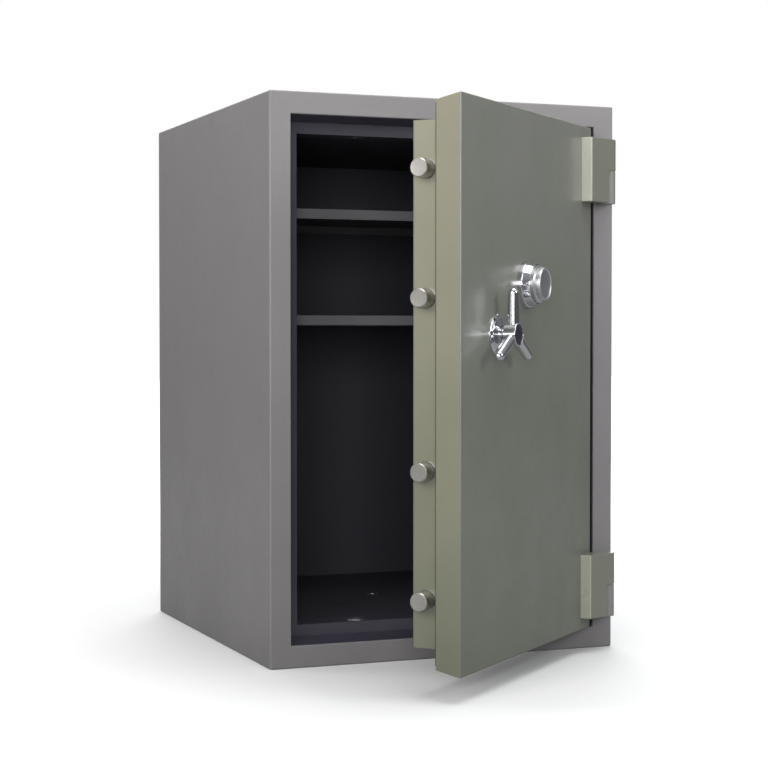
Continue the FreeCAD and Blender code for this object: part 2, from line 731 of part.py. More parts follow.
def dead_screw(z):
    """Socket screw through the dead bar into the plug wall, its head sunk in the bar."""
    face = -PLUG_LEFT + DEAD_REACH
    shank = cyl_x(SCREW_R, -PLUG_LEFT - PLUG_WALL_T, face - SUNK_HEAD_H, dead_middle(), z)
    head = cyl_x(SCREW_HEAD_R, face - SUNK_HEAD_H, face, dead_middle(), z)
    return shank.fuse(head).removeSplitter()


def dead_bar():
    """Fixed bar that hooks behind the hinge-side jamb as the door shuts."""
    bar = box(-PLUG_LEFT, -PLUG_LEFT + DEAD_REACH, DEAD_FRONT, DEAD_FRONT + DEAD_T,
              DOOR_MID_Z - DEAD_HALF, DOOR_MID_Z + DEAD_HALF)
    for z in dead_screw_heights():
        bar = bar.cut(dead_screw(z))
    return bar


def bolt_guides():
    """Bored blocks inside the plug that the six bolts slide in."""
    rear = COVER_FRONT - PLUG_WALL_T
    bore = BOLT_R + RUN_CLEAR
    wall = PLUG_LEFT + PLUG_WALL_T
    solids = []
    for z in side_bolt_heights():
        block = box(wall, wall + GUIDE_LONG, SLAB_T, rear, z - GUIDE_HALF, z + GUIDE_HALF)
        solids.append(block.cut(cyl_x(bore, wall - OVER, wall + GUIDE_LONG + OVER, BOLT_DEPTH, z)))
    for z in (PLUG_TOP - PLUG_WALL_T - GUIDE_LONG, PLUG_BOTTOM + PLUG_WALL_T):
        block = box(HANDLE_X - GUIDE_HALF, HANDLE_X + GUIDE_HALF, SLAB_T, rear, z, z + GUIDE_LONG)
        solids.append(block.cut(cyl_z(bore, z - OVER, z + GUIDE_LONG + OVER, HANDLE_X, BOLT_DEPTH)))
    return group(solids)


def rod_guide(z, front):
    """Bridge that keeps one long rod against the door."""
    x = ROD_HALF + ROD_GUIDE_CLEAR
    wall = x + ROD_GUIDE_WALL
    half = GUIDE_LONG / 2
    rear = front + ROD_T + ROD_GUIDE_CLEAR
    block = box(HANDLE_X - wall, HANDLE_X + wall, SLAB_T, rear + ROD_GUIDE_WALL, z - half, z + half)
    way = box(HANDLE_X - x, HANDLE_X + x, front - ROD_GUIDE_CLEAR, rear, z - half - OVER, z + half + OVER)
    return block.cut(way)


def rod_guides():
    """Both rod guides."""
    top = rod_guide(TOP_BOLT_INNER - TOP_GUIDE_BELOW_BOLT, TOP_ROD_FRONT)
    bottom = rod_guide(BOTTOM_BOLT_INNER + BOTTOM_GUIDE_ABOVE_BOLT, BOTTOM_ROD_FRONT)
    return group([top, bottom])


# ---------------------------------------------------------------- handle

def handle_rosette():
    """Domed plate round the handle's neck."""
    bore = HUB_NECK_R + LOOSE_CLEAR
    profile = [(bore, 0.0), (ROSETTE_R, 0.0), (ROSETTE_R, -ROSETTE_RIM_H),
               (ROSETTE_R - ROSETTE_STEP, -ROSETTE_STEP_H), (ROSETTE_R - ROSETTE_DOME, -ROSETTE_DOME_H),
               (bore + ROSETTE_COLLAR, -ROSETTE_H), (bore, -ROSETTE_H)]
    return revolve(profile, HANDLE_X, HANDLE_Z)


def spindle_bush():
    """Plain bush through the slab that the handle spindle turns in."""
    rear = SLAB_T + BUSH_REAR
    bush = cyl_d(BUSH_R, 0.0, rear, HANDLE_X, HANDLE_Z)
    return bush.cut(cyl_d(SPINDLE_R + RUN_CLEAR, -OVER, rear + OVER, HANDLE_X, HANDLE_Z))


def handle_hub():
    """Turned hub of the handle with a recess for its cap."""
    front = -HUB_FRONT
    profile = [(0.0, -LOOSE_CLEAR), (HUB_NECK_R, -LOOSE_CLEAR), (HUB_NECK_R, -HUB_FLARE + HUB_FLARE_LONG),
               (HUB_R, -HUB_FLARE), (HUB_R, front + HUB_EDGE), (HUB_R - HUB_EDGE, front), (CAP_R, front),
               (CAP_R, front + CAP_T), (0.0, front + CAP_T)]
    hub = revolve(profile, HANDLE_X, HANDLE_Z)
    return hub.cut(cyl_d(SPINDLE_R, -HUB_FLARE, OVER, HANDLE_X, HANDLE_Z))


def spoke_blank():
    """A tapered spoke along +X from the hub's centre line, with a round end."""
    straight = SPOKE_REACH - SPOKE_TIP_R
    slant = SPOKE_TIP_R * math.sqrt(0.5)
    root = V(0, SPOKE_ROOT_R, 0)
    shoulder = V(straight, SPOKE_TIP_R, 0)
    end = V(SPOKE_REACH, 0, 0)
    edges = [Part.LineSegment(V(0, 0, 0), root).toShape(), Part.LineSegment(root, shoulder).toShape()]
    edges.append(Part.Arc(shoulder, V(straight + slant, slant, 0), end).toShape())
    edges.append(Part.LineSegment(end, V(0, 0, 0)).toShape())
    return Part.Face(Part.Wire(edges)).revolve(V(0, 0, 0), V(1, 0, 0), 360)


def handle_spokes():
    """Three tapered spokes, the first one upright, ending on the hub's side."""
    hub = cyl_d(HUB_R, -HUB_FRONT - OVER, 0.0, HANDLE_X, HANDLE_Z)
    solids = []
    for i in range(SPOKE_COUNT):
        spoke = spoke_blank()
        spoke.rotate(V(0, 0, 0), V(0, 1, 0), -90.0 - 360.0 * i / SPOKE_COUNT)
        spoke.translate(V(HANDLE_X, FRONT_Y - SPOKE_PROUD, HANDLE_Z))
        solids.append(spoke.cut(hub).Solids[0])
    return group(solids)


def handle_cap():
    """Inset disc in the hub's face."""
    return cyl_d(CAP_R, -HUB_FRONT, -HUB_FRONT + CAP_T, HANDLE_X, HANDLE_Z)


def handle_spindle():
    """Shaft from the hub to the cam plate."""
    rear = CAM_FRONT + CAM_T + SPINDLE_NUT_T
    return cyl_d(SPINDLE_R, -HUB_FLARE, rear, HANDLE_X, HANDLE_Z)


def spindle_nut():
    """Ring nut that holds the cam plate on the spindle."""
    front = CAM_FRONT + CAM_T
    nut = cyl_d(SPINDLE_NUT_R, front, front + SPINDLE_NUT_T, HANDLE_X, HANDLE_Z)
    return nut.cut(cyl_d(SPINDLE_R, front - OVER, front + SPINDLE_NUT_T + OVER, HANDLE_X, HANDLE_Z))


def crank_places():
    """X, Z and rear depth of the crank pins, at the thrown position."""
    rears = {90.0: ARM_FRONT + ROD_T + PIN_END_GAP, 0.0: TOP_ROD_FRONT + ROD_T + PIN_END_GAP,
             180.0: BOTTOM_ROD_FRONT + ROD_T + PIN_END_GAP}
    places = {}
    for middle, rear in rears.items():
        angle = math.radians(middle + CRANK_HALF_DEG)
        x = HANDLE_X + CRANK_R * math.cos(angle)
        z = HANDLE_Z + CRANK_R * math.sin(angle)
        places[middle] = (x, z, rear)
    return places


def cam_plate():
    """Disc on the spindle that carries the crank pins."""
    disc = cyl_d(CAM_R, CAM_FRONT, CAM_FRONT + CAM_T, HANDLE_X, HANDLE_Z)
    disc = disc.cut(cyl_d(SPINDLE_R, CAM_FRONT - OVER, CAM_FRONT + CAM_T + OVER, HANDLE_X, HANDLE_Z))
    for x, z, _ in crank_places().values():
        disc = disc.cut(cyl_d(CRANK_PIN_R, CAM_FRONT - OVER, CAM_FRONT + CAM_T + OVER, x, z))
    return disc


def crank_pins():
    """Three pins pressed into the cam plate."""
    return group([cyl_d(CRANK_PIN_R, CAM_FRONT, rear, x, z) for x, z, rear in crank_places().values()])


# ---------------------------------------------------------------- boltwork

def round_bolt():
    """A bolt along +Z with a chamfered tip at its top and its inner end at zero."""
    bolt = Part.makeCylinder(BOLT_R, BOLT_LONG)
    tip = edges_at(bolt, lambda c: c.z > BOLT_LONG - PICK)
    return bolt.makeChamfer(BOLT_CHAMFER, [e for e in tip if e.Length > BOLT_R])


def placed_bolt(base, towards):
    """A bolt with its inner end at a place, pointing along a direction."""
    bolt = round_bolt()
    bolt.Placement = FreeCAD.Placement(base, FreeCAD.Rotation(V(0, 0, 1), towards))
    return bolt


def side_bolt(z):
    """One thrown side bolt, drilled for its screw."""
    inner = side_bolt_span()[1]
    bolt = placed_bolt(V(inner, FRONT_Y + BOLT_DEPTH, z), V(-1, 0, 0))
    return bolt.cut(cyl_x(SCREW_R, inner - SCREW_BITE, inner + OVER, BOLT_DEPTH, z))


def carrier_screw(z):
    """Screw that joins a side bolt to the carrier bar."""
    inner = side_bolt_span()[1]
    shank = cyl_x(SCREW_R, inner - SCREW_BITE, inner + BAR_T, BOLT_DEPTH, z)
    head = cyl_x(SCREW_HEAD_R, inner + BAR_T, inner + BAR_T + SCREW_HEAD_H, BOLT_DEPTH, z)
    return shank.fuse(head).removeSplitter()


def bolt_carrier():
    """Upright bar that ties the four side bolts together, with its arm welded on."""
    return carrier_bar().fuse(carrier_arm()).removeSplitter()


def carrier_bar():
    """The carrier's upright bar, drilled for the bolts' screws."""
    inner = side_bolt_span()[1]
    heights = side_bolt_heights()
    bar = box(inner, inner + BAR_T, BOLT_DEPTH - BAR_HALF, BOLT_DEPTH + BAR_HALF,
              heights[-1] - BAR_OVERRUN, heights[0] + BAR_OVERRUN)
    for z in heights:
        bar = bar.cut(cyl_x(SCREW_R, inner - OVER, inner + BAR_T + OVER, BOLT_DEPTH, z))
    return bar


def lock_bolt_edge():
    """X of the side of the lock bolt that stops the carrier."""
    return DIAL_X - LOCK_BOLT_HALF


def carrier_arm():
    """The carrier's arm, which reaches past the handle's cam to the lock."""
    x0 = side_bolt_span()[1] + BAR_T
    x1 = lock_bolt_edge() - LOOSE_CLEAR
    pin_x, _, _ = crank_places()[90.0]
    left = pin_x - PIN_SLOT_HALF - ARM_BOSS_SIDE
    right = pin_x + PIN_SLOT_HALF + ARM_BOSS_SIDE
    outline = [(x0, ARM_LOW), (left, ARM_LOW), (left, ARM_BOSS_LOW), (right, ARM_BOSS_LOW),
               (right, ARM_HIGH), (x0, ARM_HIGH)]
    tail = box(right, x1, ARM_FRONT, ARM_FRONT + ROD_T, ARM_LOW, ARM_TAIL_HIGH)
    arm = prism_d(outline, ARM_FRONT, ARM_FRONT + ROD_T).fuse(tail).removeSplitter()
    slot = box(pin_x - PIN_SLOT_HALF, pin_x + PIN_SLOT_HALF, ARM_FRONT - OVER, ARM_FRONT + ROD_T + OVER,
               HANDLE_Z + PIN_LIFT - PIN_SLOT_HALF, HANDLE_Z + CRANK_R + PIN_SLOT_HALF)
    return arm.cut(slot)


def rod(front, pin_place, side, bolt_end):
    """A long rod from a slotted yoke on its crank pin to the inner end of its bolt."""
    _, pin_z, _ = pin_place
    near = PIN_LIFT - PIN_SLOT_HALF
    far = CRANK_R + PIN_SLOT_HALF
    yoke_half = PIN_SLOT_HALF + YOKE_SIDE
    rear = front + ROD_T
    xs = sorted((HANDLE_X - side * ROD_HALF, HANDLE_X + side * (far + YOKE_END)))
    yoke = box(xs[0], xs[1], front, rear, pin_z - yoke_half, pin_z + yoke_half)
    slot_xs = sorted((HANDLE_X + side * near, HANDLE_X + side * far))
    slot = box(slot_xs[0], slot_xs[1], front - OVER, rear + OVER, pin_z - PIN_SLOT_HALF,
               pin_z + PIN_SLOT_HALF)
    zs = sorted((pin_z, bolt_end))
    stem = box(HANDLE_X - ROD_HALF, HANDLE_X + ROD_HALF, front, rear, zs[0], zs[1])
    return yoke.fuse(stem).removeSplitter().cut(slot)


# ---------------------------------------------------------------- dial and lock

def dial_ring():
    """Stepped ring fixed to the door round the dial."""
    step = RING_WALL_H + RING_EDGE
    profile = [(RING_BORE_R, 0.0), (RING_R, 0.0), (RING_R, -RING_WALL_H), (RING_R - RING_EDGE, -step),
               (RING_R - RING_STEP, -step), (RING_R - RING_SLOPE, -RING_H), (RING_BORE_R, -RING_H)]
    return revolve(profile, DIAL_X, DIAL_Z)


def dial():
    """Numbered dial with a raised knob and a dished front."""
    step = DIAL_BACK + DIAL_SKIRT_T
    profile = [(0.0, -DIAL_DOOR_GAP), (DIAL_HUB_R, -DIAL_DOOR_GAP), (DIAL_HUB_R, -DIAL_BACK),
               (DIAL_SKIRT_R, -DIAL_BACK), (DIAL_SKIRT_R, -step), (DIAL_KNOB_R, -step - DIAL_KNOB_ROOT),
               (DIAL_KNOB_R, -DIAL_FRONT + DIAL_EDGE), (DIAL_KNOB_R - DIAL_EDGE, -DIAL_FRONT),
               (DIAL_RECESS_R, -DIAL_FRONT),
               (DIAL_RECESS_R, -DIAL_FRONT + DIAL_RECESS), (0.0, -DIAL_FRONT + DIAL_RECESS)]
    knob = revolve(profile, DIAL_X, DIAL_Z)
    return knob.cut(cyl_d(DIAL_SPINDLE_R, -DIAL_BACK, 0.0, DIAL_X, DIAL_Z))


def dial_tube():
    """Tube through the slab that the dial spindle passes down."""
    tube = cyl_d(DIAL_TUBE_R, 0.0, SLAB_T, DIAL_X, DIAL_Z)
    return tube.cut(cyl_d(DIAL_SPINDLE_R + LOOSE_CLEAR, -OVER, SLAB_T + OVER, DIAL_X, DIAL_Z))


def dial_spindle():
    """Shaft from the dial to the lock's drive cam."""
    return cyl_d(DIAL_SPINDLE_R, -DIAL_BACK, CAM_WHEEL_FRONT + CAM_WHEEL_T, DIAL_X, DIAL_Z)


def drive_cam():
    """Notched cam on the end of the dial spindle."""
    rear = CAM_WHEEL_FRONT + CAM_WHEEL_T
    cam = cyl_d(CAM_WHEEL_R, CAM_WHEEL_FRONT, rear, DIAL_X, DIAL_Z)
    notch = box(DIAL_X - CAM_NOTCH_HALF, DIAL_X + CAM_NOTCH_HALF, CAM_WHEEL_FRONT - OVER, rear + OVER,
                DIAL_Z + CAM_WHEEL_R - CAM_NOTCH_DEEP, DIAL_Z + CAM_WHEEL_R + OVER)
    return cam.cut(notch).cut(cyl_d(DIAL_SPINDLE_R, CAM_WHEEL_FRONT - OVER, rear + OVER, DIAL_X, DIAL_Z))


def lock_rect(wall):
    """Outline of the lock case pulled in by a wall, as X low, X high, Z low, Z high."""
    return (DIAL_X - LOCK_HALF_X + wall, DIAL_X + LOCK_HALF_X - wall, LOCK_BOTTOM + wall,
            DIAL_Z + LOCK_ABOVE - wall)


def lock_box(wall, d0, d1):
    """A box of the lock case's outline pulled in by a wall."""
    x0, x1, z0, z1 = lock_rect(wall)
    return box(x0, x1, d0, d1, z0, z1)


def lock_screw_spots():
    """Corners of the lock case where its cover is screwed down."""
    x0, x1, z0, z1 = lock_rect(LOCK_WALL)
    return [(x0, z0), (x1, z0), (x0, z1), (x1, z1)]


def lock_case():
    """Cast lock body with the wheel post and the slot for the lock bolt."""
    case = lock_box(0.0, SLAB_T, LOCK_REAR).cut(lock_box(LOCK_WALL, SLAB_T + LOCK_WALL, LOCK_REAR + OVER))
    for x, z in lock_screw_spots():
        boss = cyl_d(LOCK_BOSS_R, SLAB_T + OVER, LOCK_REAR, x, z)
        case = case.fuse(boss.common(lock_box(OVER, SLAB_T, LOCK_REAR)))
    post_rear = wheel_front(WHEEL_COUNT)
    case = case.fuse(cyl_d(POST_R, SLAB_T + OVER, post_rear, DIAL_X, DIAL_Z))
    case = case.cut(cyl_d(DIAL_SPINDLE_R + RUN_CLEAR, SLAB_T - OVER, post_rear + OVER, DIAL_X, DIAL_Z))
    half = LOCK_BOLT_HALF + RUN_CLEAR
    gate = box(DIAL_X - half, DIAL_X + half, LOCK_BOLT_FRONT - RUN_CLEAR, LEVER_FRONT + RUN_CLEAR,
               LOCK_BOTTOM - OVER, LOCK_BOTTOM + LOCK_WALL + OVER)
    case = case.cut(gate)
    for x, z in lock_screw_spots():
        case = case.cut(cyl_d(LOCK_SCREW_R, LOCK_REAR - LOCK_SCREW_LONG, LOCK_REAR + OVER, x, z))
    return case.removeSplitter()


def lock_cover():
    """Sheet cover of the lock."""
    rear = LOCK_REAR + LOCK_COVER_T
    cover = lock_box(0.0, LOCK_REAR, rear)
    for x, z in lock_screw_spots():
        cover = cover.cut(cyl_d(LOCK_SCREW_R, LOCK_REAR - OVER, rear + OVER, x, z))
    return cover


def lock_screws():
    """Screws of the lock cover."""
    rear = LOCK_REAR + LOCK_COVER_T
    solids = []
    for x, z in lock_screw_spots():
        shank = cyl_d(LOCK_SCREW_R, LOCK_REAR - LOCK_SCREW_LONG, rear, x, z)
        head = cyl_d(LOCK_SCREW_HEAD_R, rear, rear + LOCK_SCREW_HEAD_H, x, z)
        solids.append(shank.fuse(head).removeSplitter())
    return group(solids)


def wheel_front(index):
    """Depth of a combination wheel's front."""
    return SLAB_T + LOCK_WALL + WHEEL_GAP + index * WHEEL_PITCH


def lock_wheel(index):
    """One combination wheel with its gate at the top."""
    front = wheel_front(index)
    rear = front + WHEEL_T
    wheel = cyl_d(WHEEL_R, front, rear, DIAL_X, DIAL_Z)
    half = WHEEL_GATE_HALF
    gate = box(DIAL_X - half, DIAL_X + half, front - OVER, rear + OVER,
               DIAL_Z + WHEEL_R - WHEEL_GATE_DEEP, DIAL_Z + WHEEL_R + OVER)
    wheel = wheel.cut(gate)
    return wheel.cut(cyl_d(POST_R + RUN_CLEAR, front - OVER, rear + OVER, DIAL_X, DIAL_Z))


def lock_bolt():
    """Sliding bolt of the lock, drawn back, which stops the carrier arm when it is out."""
    return box(DIAL_X - LOCK_BOLT_HALF, DIAL_X + LOCK_BOLT_HALF, LOCK_BOLT_FRONT, LEVER_FRONT,
               LOCK_BOTTOM, LOCK_BOTTOM + LOCK_BOLT_LONG)


def lock_lever():
    """Lever on the lock bolt with its nose over the cam and its fence bar over the wheel gates."""
    x1 = DIAL_X + LOCK_HALF_X - LOCK_WALL - LEVER_SIDE_GAP
    x0 = x1 - LEVER_WIDTH
    left = DIAL_X - FENCE_HALF
    right = DIAL_X + FENCE_HALF
    foot = LOCK_BOTTOM + LOCK_BOLT_LONG - LEVER_WIDTH - FENCE_T
    shoulder = foot + LEVER_WIDTH
    top = DIAL_Z + WHEEL_R + LOCK_TRAVEL + FENCE_ABOVE
    under = top - LEVER_WIDTH
    rear = LEVER_FRONT + LEVER_T
    outline = [(left, foot), (x1, foot), (x1, top), (left, top), (left, under), (x0, under), (x0, shoulder),
               (left, shoulder)]
    plate = prism_d(outline, LEVER_FRONT, rear)
    fence = box(left, right, wheel_front(0), LEVER_FRONT, top - FENCE_T, top)
    nose = box(left, right, rear, CAM_WHEEL_FRONT + CAM_WHEEL_T, under, top)
    return plate.fuse(fence).fuse(nose).removeSplitter()


# ---------------------------------------------------------------- build

def build_body():
    """The fixed body and its furniture."""
    save("outer_shell", outer_shell())
    save("base_plate", base_plate())
    save("barrier_fill", barrier_fill())
    save("jamb_frame", jamb_frame())
    save("inner_liner", inner_liner())
    save("liner_floor", liner_floor())
    save("anchor_sleeve", anchor_sleeve())
    for name, top in SHELF_TOPS.items():
        save(name, shelf(top))
    save("shelf_brackets", shelf_brackets())
    washers = []
    for name, middle in hinge_middles().items():
        save(name + "_hinge_lug", hinge_lug(middle))
        save(name + "_hinge_pin", hinge_pin(middle))
        washers.append(hinge_washer(middle))
    save("hinge_washers", group(washers))


def build_door():
    """The fixed pieces of the door."""
    plate = hard_plate()
    save_door("door_front_pan", door_front_pan())
    save_door("hard_plate", plate)
    save_door("door_fill", door_fill(plate))
    save_door("door_plug_pan", door_plug_pan())
    save_door("door_back_cover", door_back_cover())
    save_door("cover_screws", cover_screws())
    save_door("fire_seal", fire_seal())
    save_door("dead_bar", dead_bar())
    save_door("dead_bar_screws", group([dead_screw(z) for z in dead_screw_heights()]))
    save_door("bolt_guides", bolt_guides())
    save_door("rod_guides", rod_guides())
    for name, middle in hinge_middles().items():
        save_door(name + "_hinge_leaf", hinge_leaf(middle))
    save_door("handle_rosette", handle_rosette())
    save_door("spindle_bush", spindle_bush())
    save_door("dial_ring", dial_ring())
    save_door("dial_tube", dial_tube())
    save_door("lock_case", lock_case())
    save_door("lock_cover", lock_cover())
    save_door("lock_screws", lock_screws())


def build_boltwork():
    """Bolts, carrier and rods."""
    for i, z in enumerate(side_bolt_heights()):
        save_door(f"side_bolt_{i + 1}", side_bolt(z))
    save_door("bolt_carrier", bolt_carrier())
    save_door("carrier_screws", group([carrier_screw(z) for z in side_bolt_heights()]))
    places = crank_places()
    depth_y = FRONT_Y + BOLT_DEPTH
    save_door("top_bolt", placed_bolt(V(HANDLE_X, depth_y, TOP_BOLT_INNER), V(0, 0, 1)))
    save_door("top_rod", rod(TOP_ROD_FRONT, places[0.0], 1, TOP_BOLT_INNER))
    save_door("bottom_bolt", placed_bolt(V(HANDLE_X, depth_y, BOTTOM_BOLT_INNER), V(0, 0, -1)))
    save_door("bottom_rod", rod(BOTTOM_ROD_FRONT, places[180.0], -1, BOTTOM_BOLT_INNER))


def build_handle():
    """Handle, spindle and cam."""
    save_door("handle_hub", handle_hub())
    save_door("handle_spokes", handle_spokes())
    save_door("handle_cap", handle_cap())
    save_door("handle_spindle", handle_spindle())
    save_door("spindle_nut", spindle_nut())
    save_door("cam_plate", cam_plate())
    save_door("crank_pins", crank_pins())


def build_lock():
    """Dial and the moving pieces of the combination lock."""
    save_door("dial", dial())
    save_door("dial_spindle", dial_spindle())
    save_door("drive_cam", drive_cam())
    for i in range(WHEEL_COUNT):
        save_door(f"lock_wheel_{i + 1}", lock_wheel(i))
    save_door("lock_bolt", lock_bolt())
    save_door("lock_lever", lock_lever())


def main():
    """Build every node."""
    os.makedirs("parts", exist_ok=True)
    build_body()
    build_door()
    build_boltwork()
    build_handle()
    build_lock()
    print(len(SAVED), "nodes")


main()
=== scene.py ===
"""Looks for a free-standing safe with a half-open door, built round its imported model.

Lengths are metres. Each sub-assembly is a class, each finish a frozen dataclass, and main() builds them in
order. Pieces on the door are made about their own centre and then set in the door's frame.
"""

import json
import logging
import math
from dataclasses import dataclass
from enum import Enum
from typing import Any, Protocol

import bpy
from bpy.types import Material, Object
from mathutils import Matrix, Vector

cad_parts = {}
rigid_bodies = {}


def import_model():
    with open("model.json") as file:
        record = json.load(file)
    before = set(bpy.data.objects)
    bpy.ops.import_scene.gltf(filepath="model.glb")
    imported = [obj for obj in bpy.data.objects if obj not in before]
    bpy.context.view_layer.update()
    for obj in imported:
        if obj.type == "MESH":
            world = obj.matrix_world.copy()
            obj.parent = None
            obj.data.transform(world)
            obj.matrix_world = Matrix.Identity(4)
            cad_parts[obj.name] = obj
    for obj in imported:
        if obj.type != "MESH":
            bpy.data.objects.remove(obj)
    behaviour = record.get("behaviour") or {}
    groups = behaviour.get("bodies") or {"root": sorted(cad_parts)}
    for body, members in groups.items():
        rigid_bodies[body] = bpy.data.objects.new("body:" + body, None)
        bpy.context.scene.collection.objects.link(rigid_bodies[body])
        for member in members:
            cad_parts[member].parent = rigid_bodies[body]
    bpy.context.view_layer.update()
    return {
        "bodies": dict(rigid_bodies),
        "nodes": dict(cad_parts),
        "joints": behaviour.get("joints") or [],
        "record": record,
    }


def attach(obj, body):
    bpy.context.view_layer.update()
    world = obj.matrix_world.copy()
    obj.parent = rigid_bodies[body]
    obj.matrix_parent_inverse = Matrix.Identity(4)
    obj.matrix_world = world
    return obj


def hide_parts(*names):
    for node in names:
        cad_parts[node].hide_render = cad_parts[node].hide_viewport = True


LOG = logging.getLogger("safe")
Colour = tuple[float, float, float]
Profile = list[tuple[float, float]]
Steps = tuple[tuple[float, float], ...]
Lamp = tuple[str, tuple[float, float, float], float, float, Colour]
MM = 0.001
SMOOTH_BELOW = 38.0      # degrees between faces that are shaded as one curve
WELD = 0.00002           # vertices nearer than this are merged
FLAT_WITHIN = 0.5        # degrees between faces that are merged into one
POLE = 0.02              # share of a round end's radius that is left flat at its pole


# ---------------------------------------------------------------- shader tools

class Sock:
    """A node's output that takes part in sums."""

    def __init__(self, tree: bpy.types.NodeTree, socket: bpy.types.NodeSocket) -> None:
        """Wrap a socket of a tree."""
        self.tree = tree
        self.socket = socket

    def maths(self, operation: str, first: Any, second: Any = 0.0) -> "Sock":
        """Add a Math node.

        Args:
            operation: The node's operation.
            first: Its first number or Sock.
            second: Its second number or Sock.

        Returns:
            The node's output.
        """
        node = self.tree.nodes.new("ShaderNodeMath")
        node.operation = operation
        for slot, value in zip(node.inputs, (first, second)):
            if isinstance(value, Sock):
                self.tree.links.new(value.socket, slot)
            else:
                slot.default_value = value
        return Sock(self.tree, node.outputs[0])

    def __add__(self, other: Any) -> "Sock":
        """Sum."""
        return self.maths("ADD", self, other)

    def __radd__(self, other: Any) -> "Sock":
        """Sum with a number first."""
        return self.maths("ADD", other, self)

    def __sub__(self, other: Any) -> "Sock":
        """Difference."""
        return self.maths("SUBTRACT", self, other)

    def __rsub__(self, other: Any) -> "Sock":
        """Difference from a number."""
        return self.maths("SUBTRACT", other, self)

    def __mul__(self, other: Any) -> "Sock":
        """Product."""
        return self.maths("MULTIPLY", self, other)

    def __truediv__(self, other: Any) -> "Sock":
        """Quotient."""
        return self.maths("DIVIDE", self, other)

    def __pow__(self, other: Any) -> "Sock":
        """Power."""
        return self.maths("POWER", self, other)

    def __lt__(self, other: Any) -> "Sock":
        """One where this is smaller."""
        return self.maths("LESS_THAN", self, other)

    def __gt__(self, other: Any) -> "Sock":
        """One where this is larger."""
        return self.maths("GREATER_THAN", self, other)

    def fract(self) -> "Sock":
        """The part after the point."""
        return self.maths("FRACT", self)

    def wave(self) -> "Sock":
        """A sine wave from nought to one."""
        return self.maths("SINE", self) * 0.5 + 0.5

    def clamped(self) -> "Sock":
        """Held between nought and one."""
        return self.maths("MINIMUM", self.maths("MAXIMUM", self, 0.0), 1.0)


class Bench:
    """A node tree being put together."""

    def __init__(self, tree: bpy.types.NodeTree) -> None:
        """Work on a tree."""
        self.tree = tree

    def node(self, kind: str, settings: dict[str, Any] | None = None, sockets: dict[Any, Any] | None = None,
             output: Any = 0) -> Sock:
        """Add any node.

        Args:
            kind: The node's type.
            settings: Properties that are set first.
            sockets: Values or Socks for its inputs, by name or number.
            output: The name or number of the output wanted.

        Returns:
            That output.
        """
        node = self.tree.nodes.new(kind)
        for key, value in (settings or {}).items():
            setattr(node, key, value)
        for key, value in (sockets or {}).items():
            if isinstance(value, Sock):
                self.tree.links.new(value.socket, node.inputs[key])
            else:
                node.inputs[key].default_value = value
        return Sock(self.tree, node.outputs[output])

    def ramp(self, value: Sock, low: float, high: float) -> Sock:
        """Nought below one value, one above another, even between."""
        return ((value - low) / (high - low)).clamped()

    def axes(self, vector: Sock) -> tuple[Sock, Sock, Sock]:
        """X, Y and Z of a vector."""
        parts = [self.node("ShaderNodeSeparateXYZ", None, {0: vector}, i) for i in range(3)]
        return parts[0], parts[1], parts[2]

    def off_axis(self, vector: Sock) -> Sock:
        """How far a point is from the Z axis."""
        x, y, _ = self.axes(vector)
        return (x * x + y * y) ** 0.5


class Recipe(Bench):
    """A material being put together."""

    def __init__(self, name: str) -> None:
        """Start a material with one Principled shader."""
        self.material = bpy.data.materials.new(name)
        self.material.use_nodes = True
        super().__init__(self.material.node_tree)
        self.shader = self.tree.nodes["Principled BSDF"]

    def spot(self, place: Matrix | None = None) -> Sock:
        """The point being shaded, in the object's frame or in a placed one.

        Args:
            place: The frame to read the point in.

        Returns:
            A vector.
        """
        vector = self.node("ShaderNodeTexCoord", output="Object")
        if place is None:
            return vector
        back = place.inverted()
        return self.node("ShaderNodeMapping", {"vector_type": "POINT"},
                         {"Vector": vector, "Location": back.to_translation(),
                          "Rotation": back.to_euler("XYZ")})

    def stretched(self, vector: Sock, scale: tuple[float, float, float]) -> Sock:
        """A vector with its axes scaled."""
        return self.node("ShaderNodeVectorMath", {"operation": "MULTIPLY"}, {0: vector, 1: scale})

    def noise(self, vector: Sock, scale: float, detail: float = 3.0, rough: float = 0.5) -> Sock:
        """Cloudy noise from nought to one."""
        return self.node("ShaderNodeTexNoise", None,
                         {"Vector": vector, "Scale": scale, "Detail": detail, "Roughness": rough}, "Fac")

    def blend(self, mask: Any, first: Any, second: Any) -> Sock:
        """Mix two colours.

        Args:
            mask: How much of the second colour shows.
            first: The colour at nought.
            second: The colour at one.

        Returns:
            The mixed colour.
        """
        ends = [c if isinstance(c, Sock) else (*c, 1.0) for c in (first, second)]
        return self.node("ShaderNodeMix", {"data_type": "RGBA"}, {0: mask, 6: ends[0], 7: ends[1]}, 2)

    def bump(self, height: Sock, distance: float) -> Sock:
        """A normal from a height in metres."""
        return self.node("ShaderNodeBump", None, {"Height": height, "Distance": distance, "Strength": 1.0},
                         "Normal")

    def finish(self, **sockets: Any) -> Material:
        """Set or link the shader's sockets.

        Args:
            sockets: Values or Socks, with underscores for the spaces of the socket names.

        Returns:
            The finished material.
        """
        for key, value in sockets.items():
            slot = self.shader.inputs[key.replace("_", " ")]
            if isinstance(value, Sock):
                self.tree.links.new(value.socket, slot)
            else:
                slot.default_value = value
        return self.material


class Finish(Protocol):
    """Anything that can make a material."""

    def material(self, place: Matrix | None = None) -> Material:
        """Make the material, with its pattern in a placed frame."""


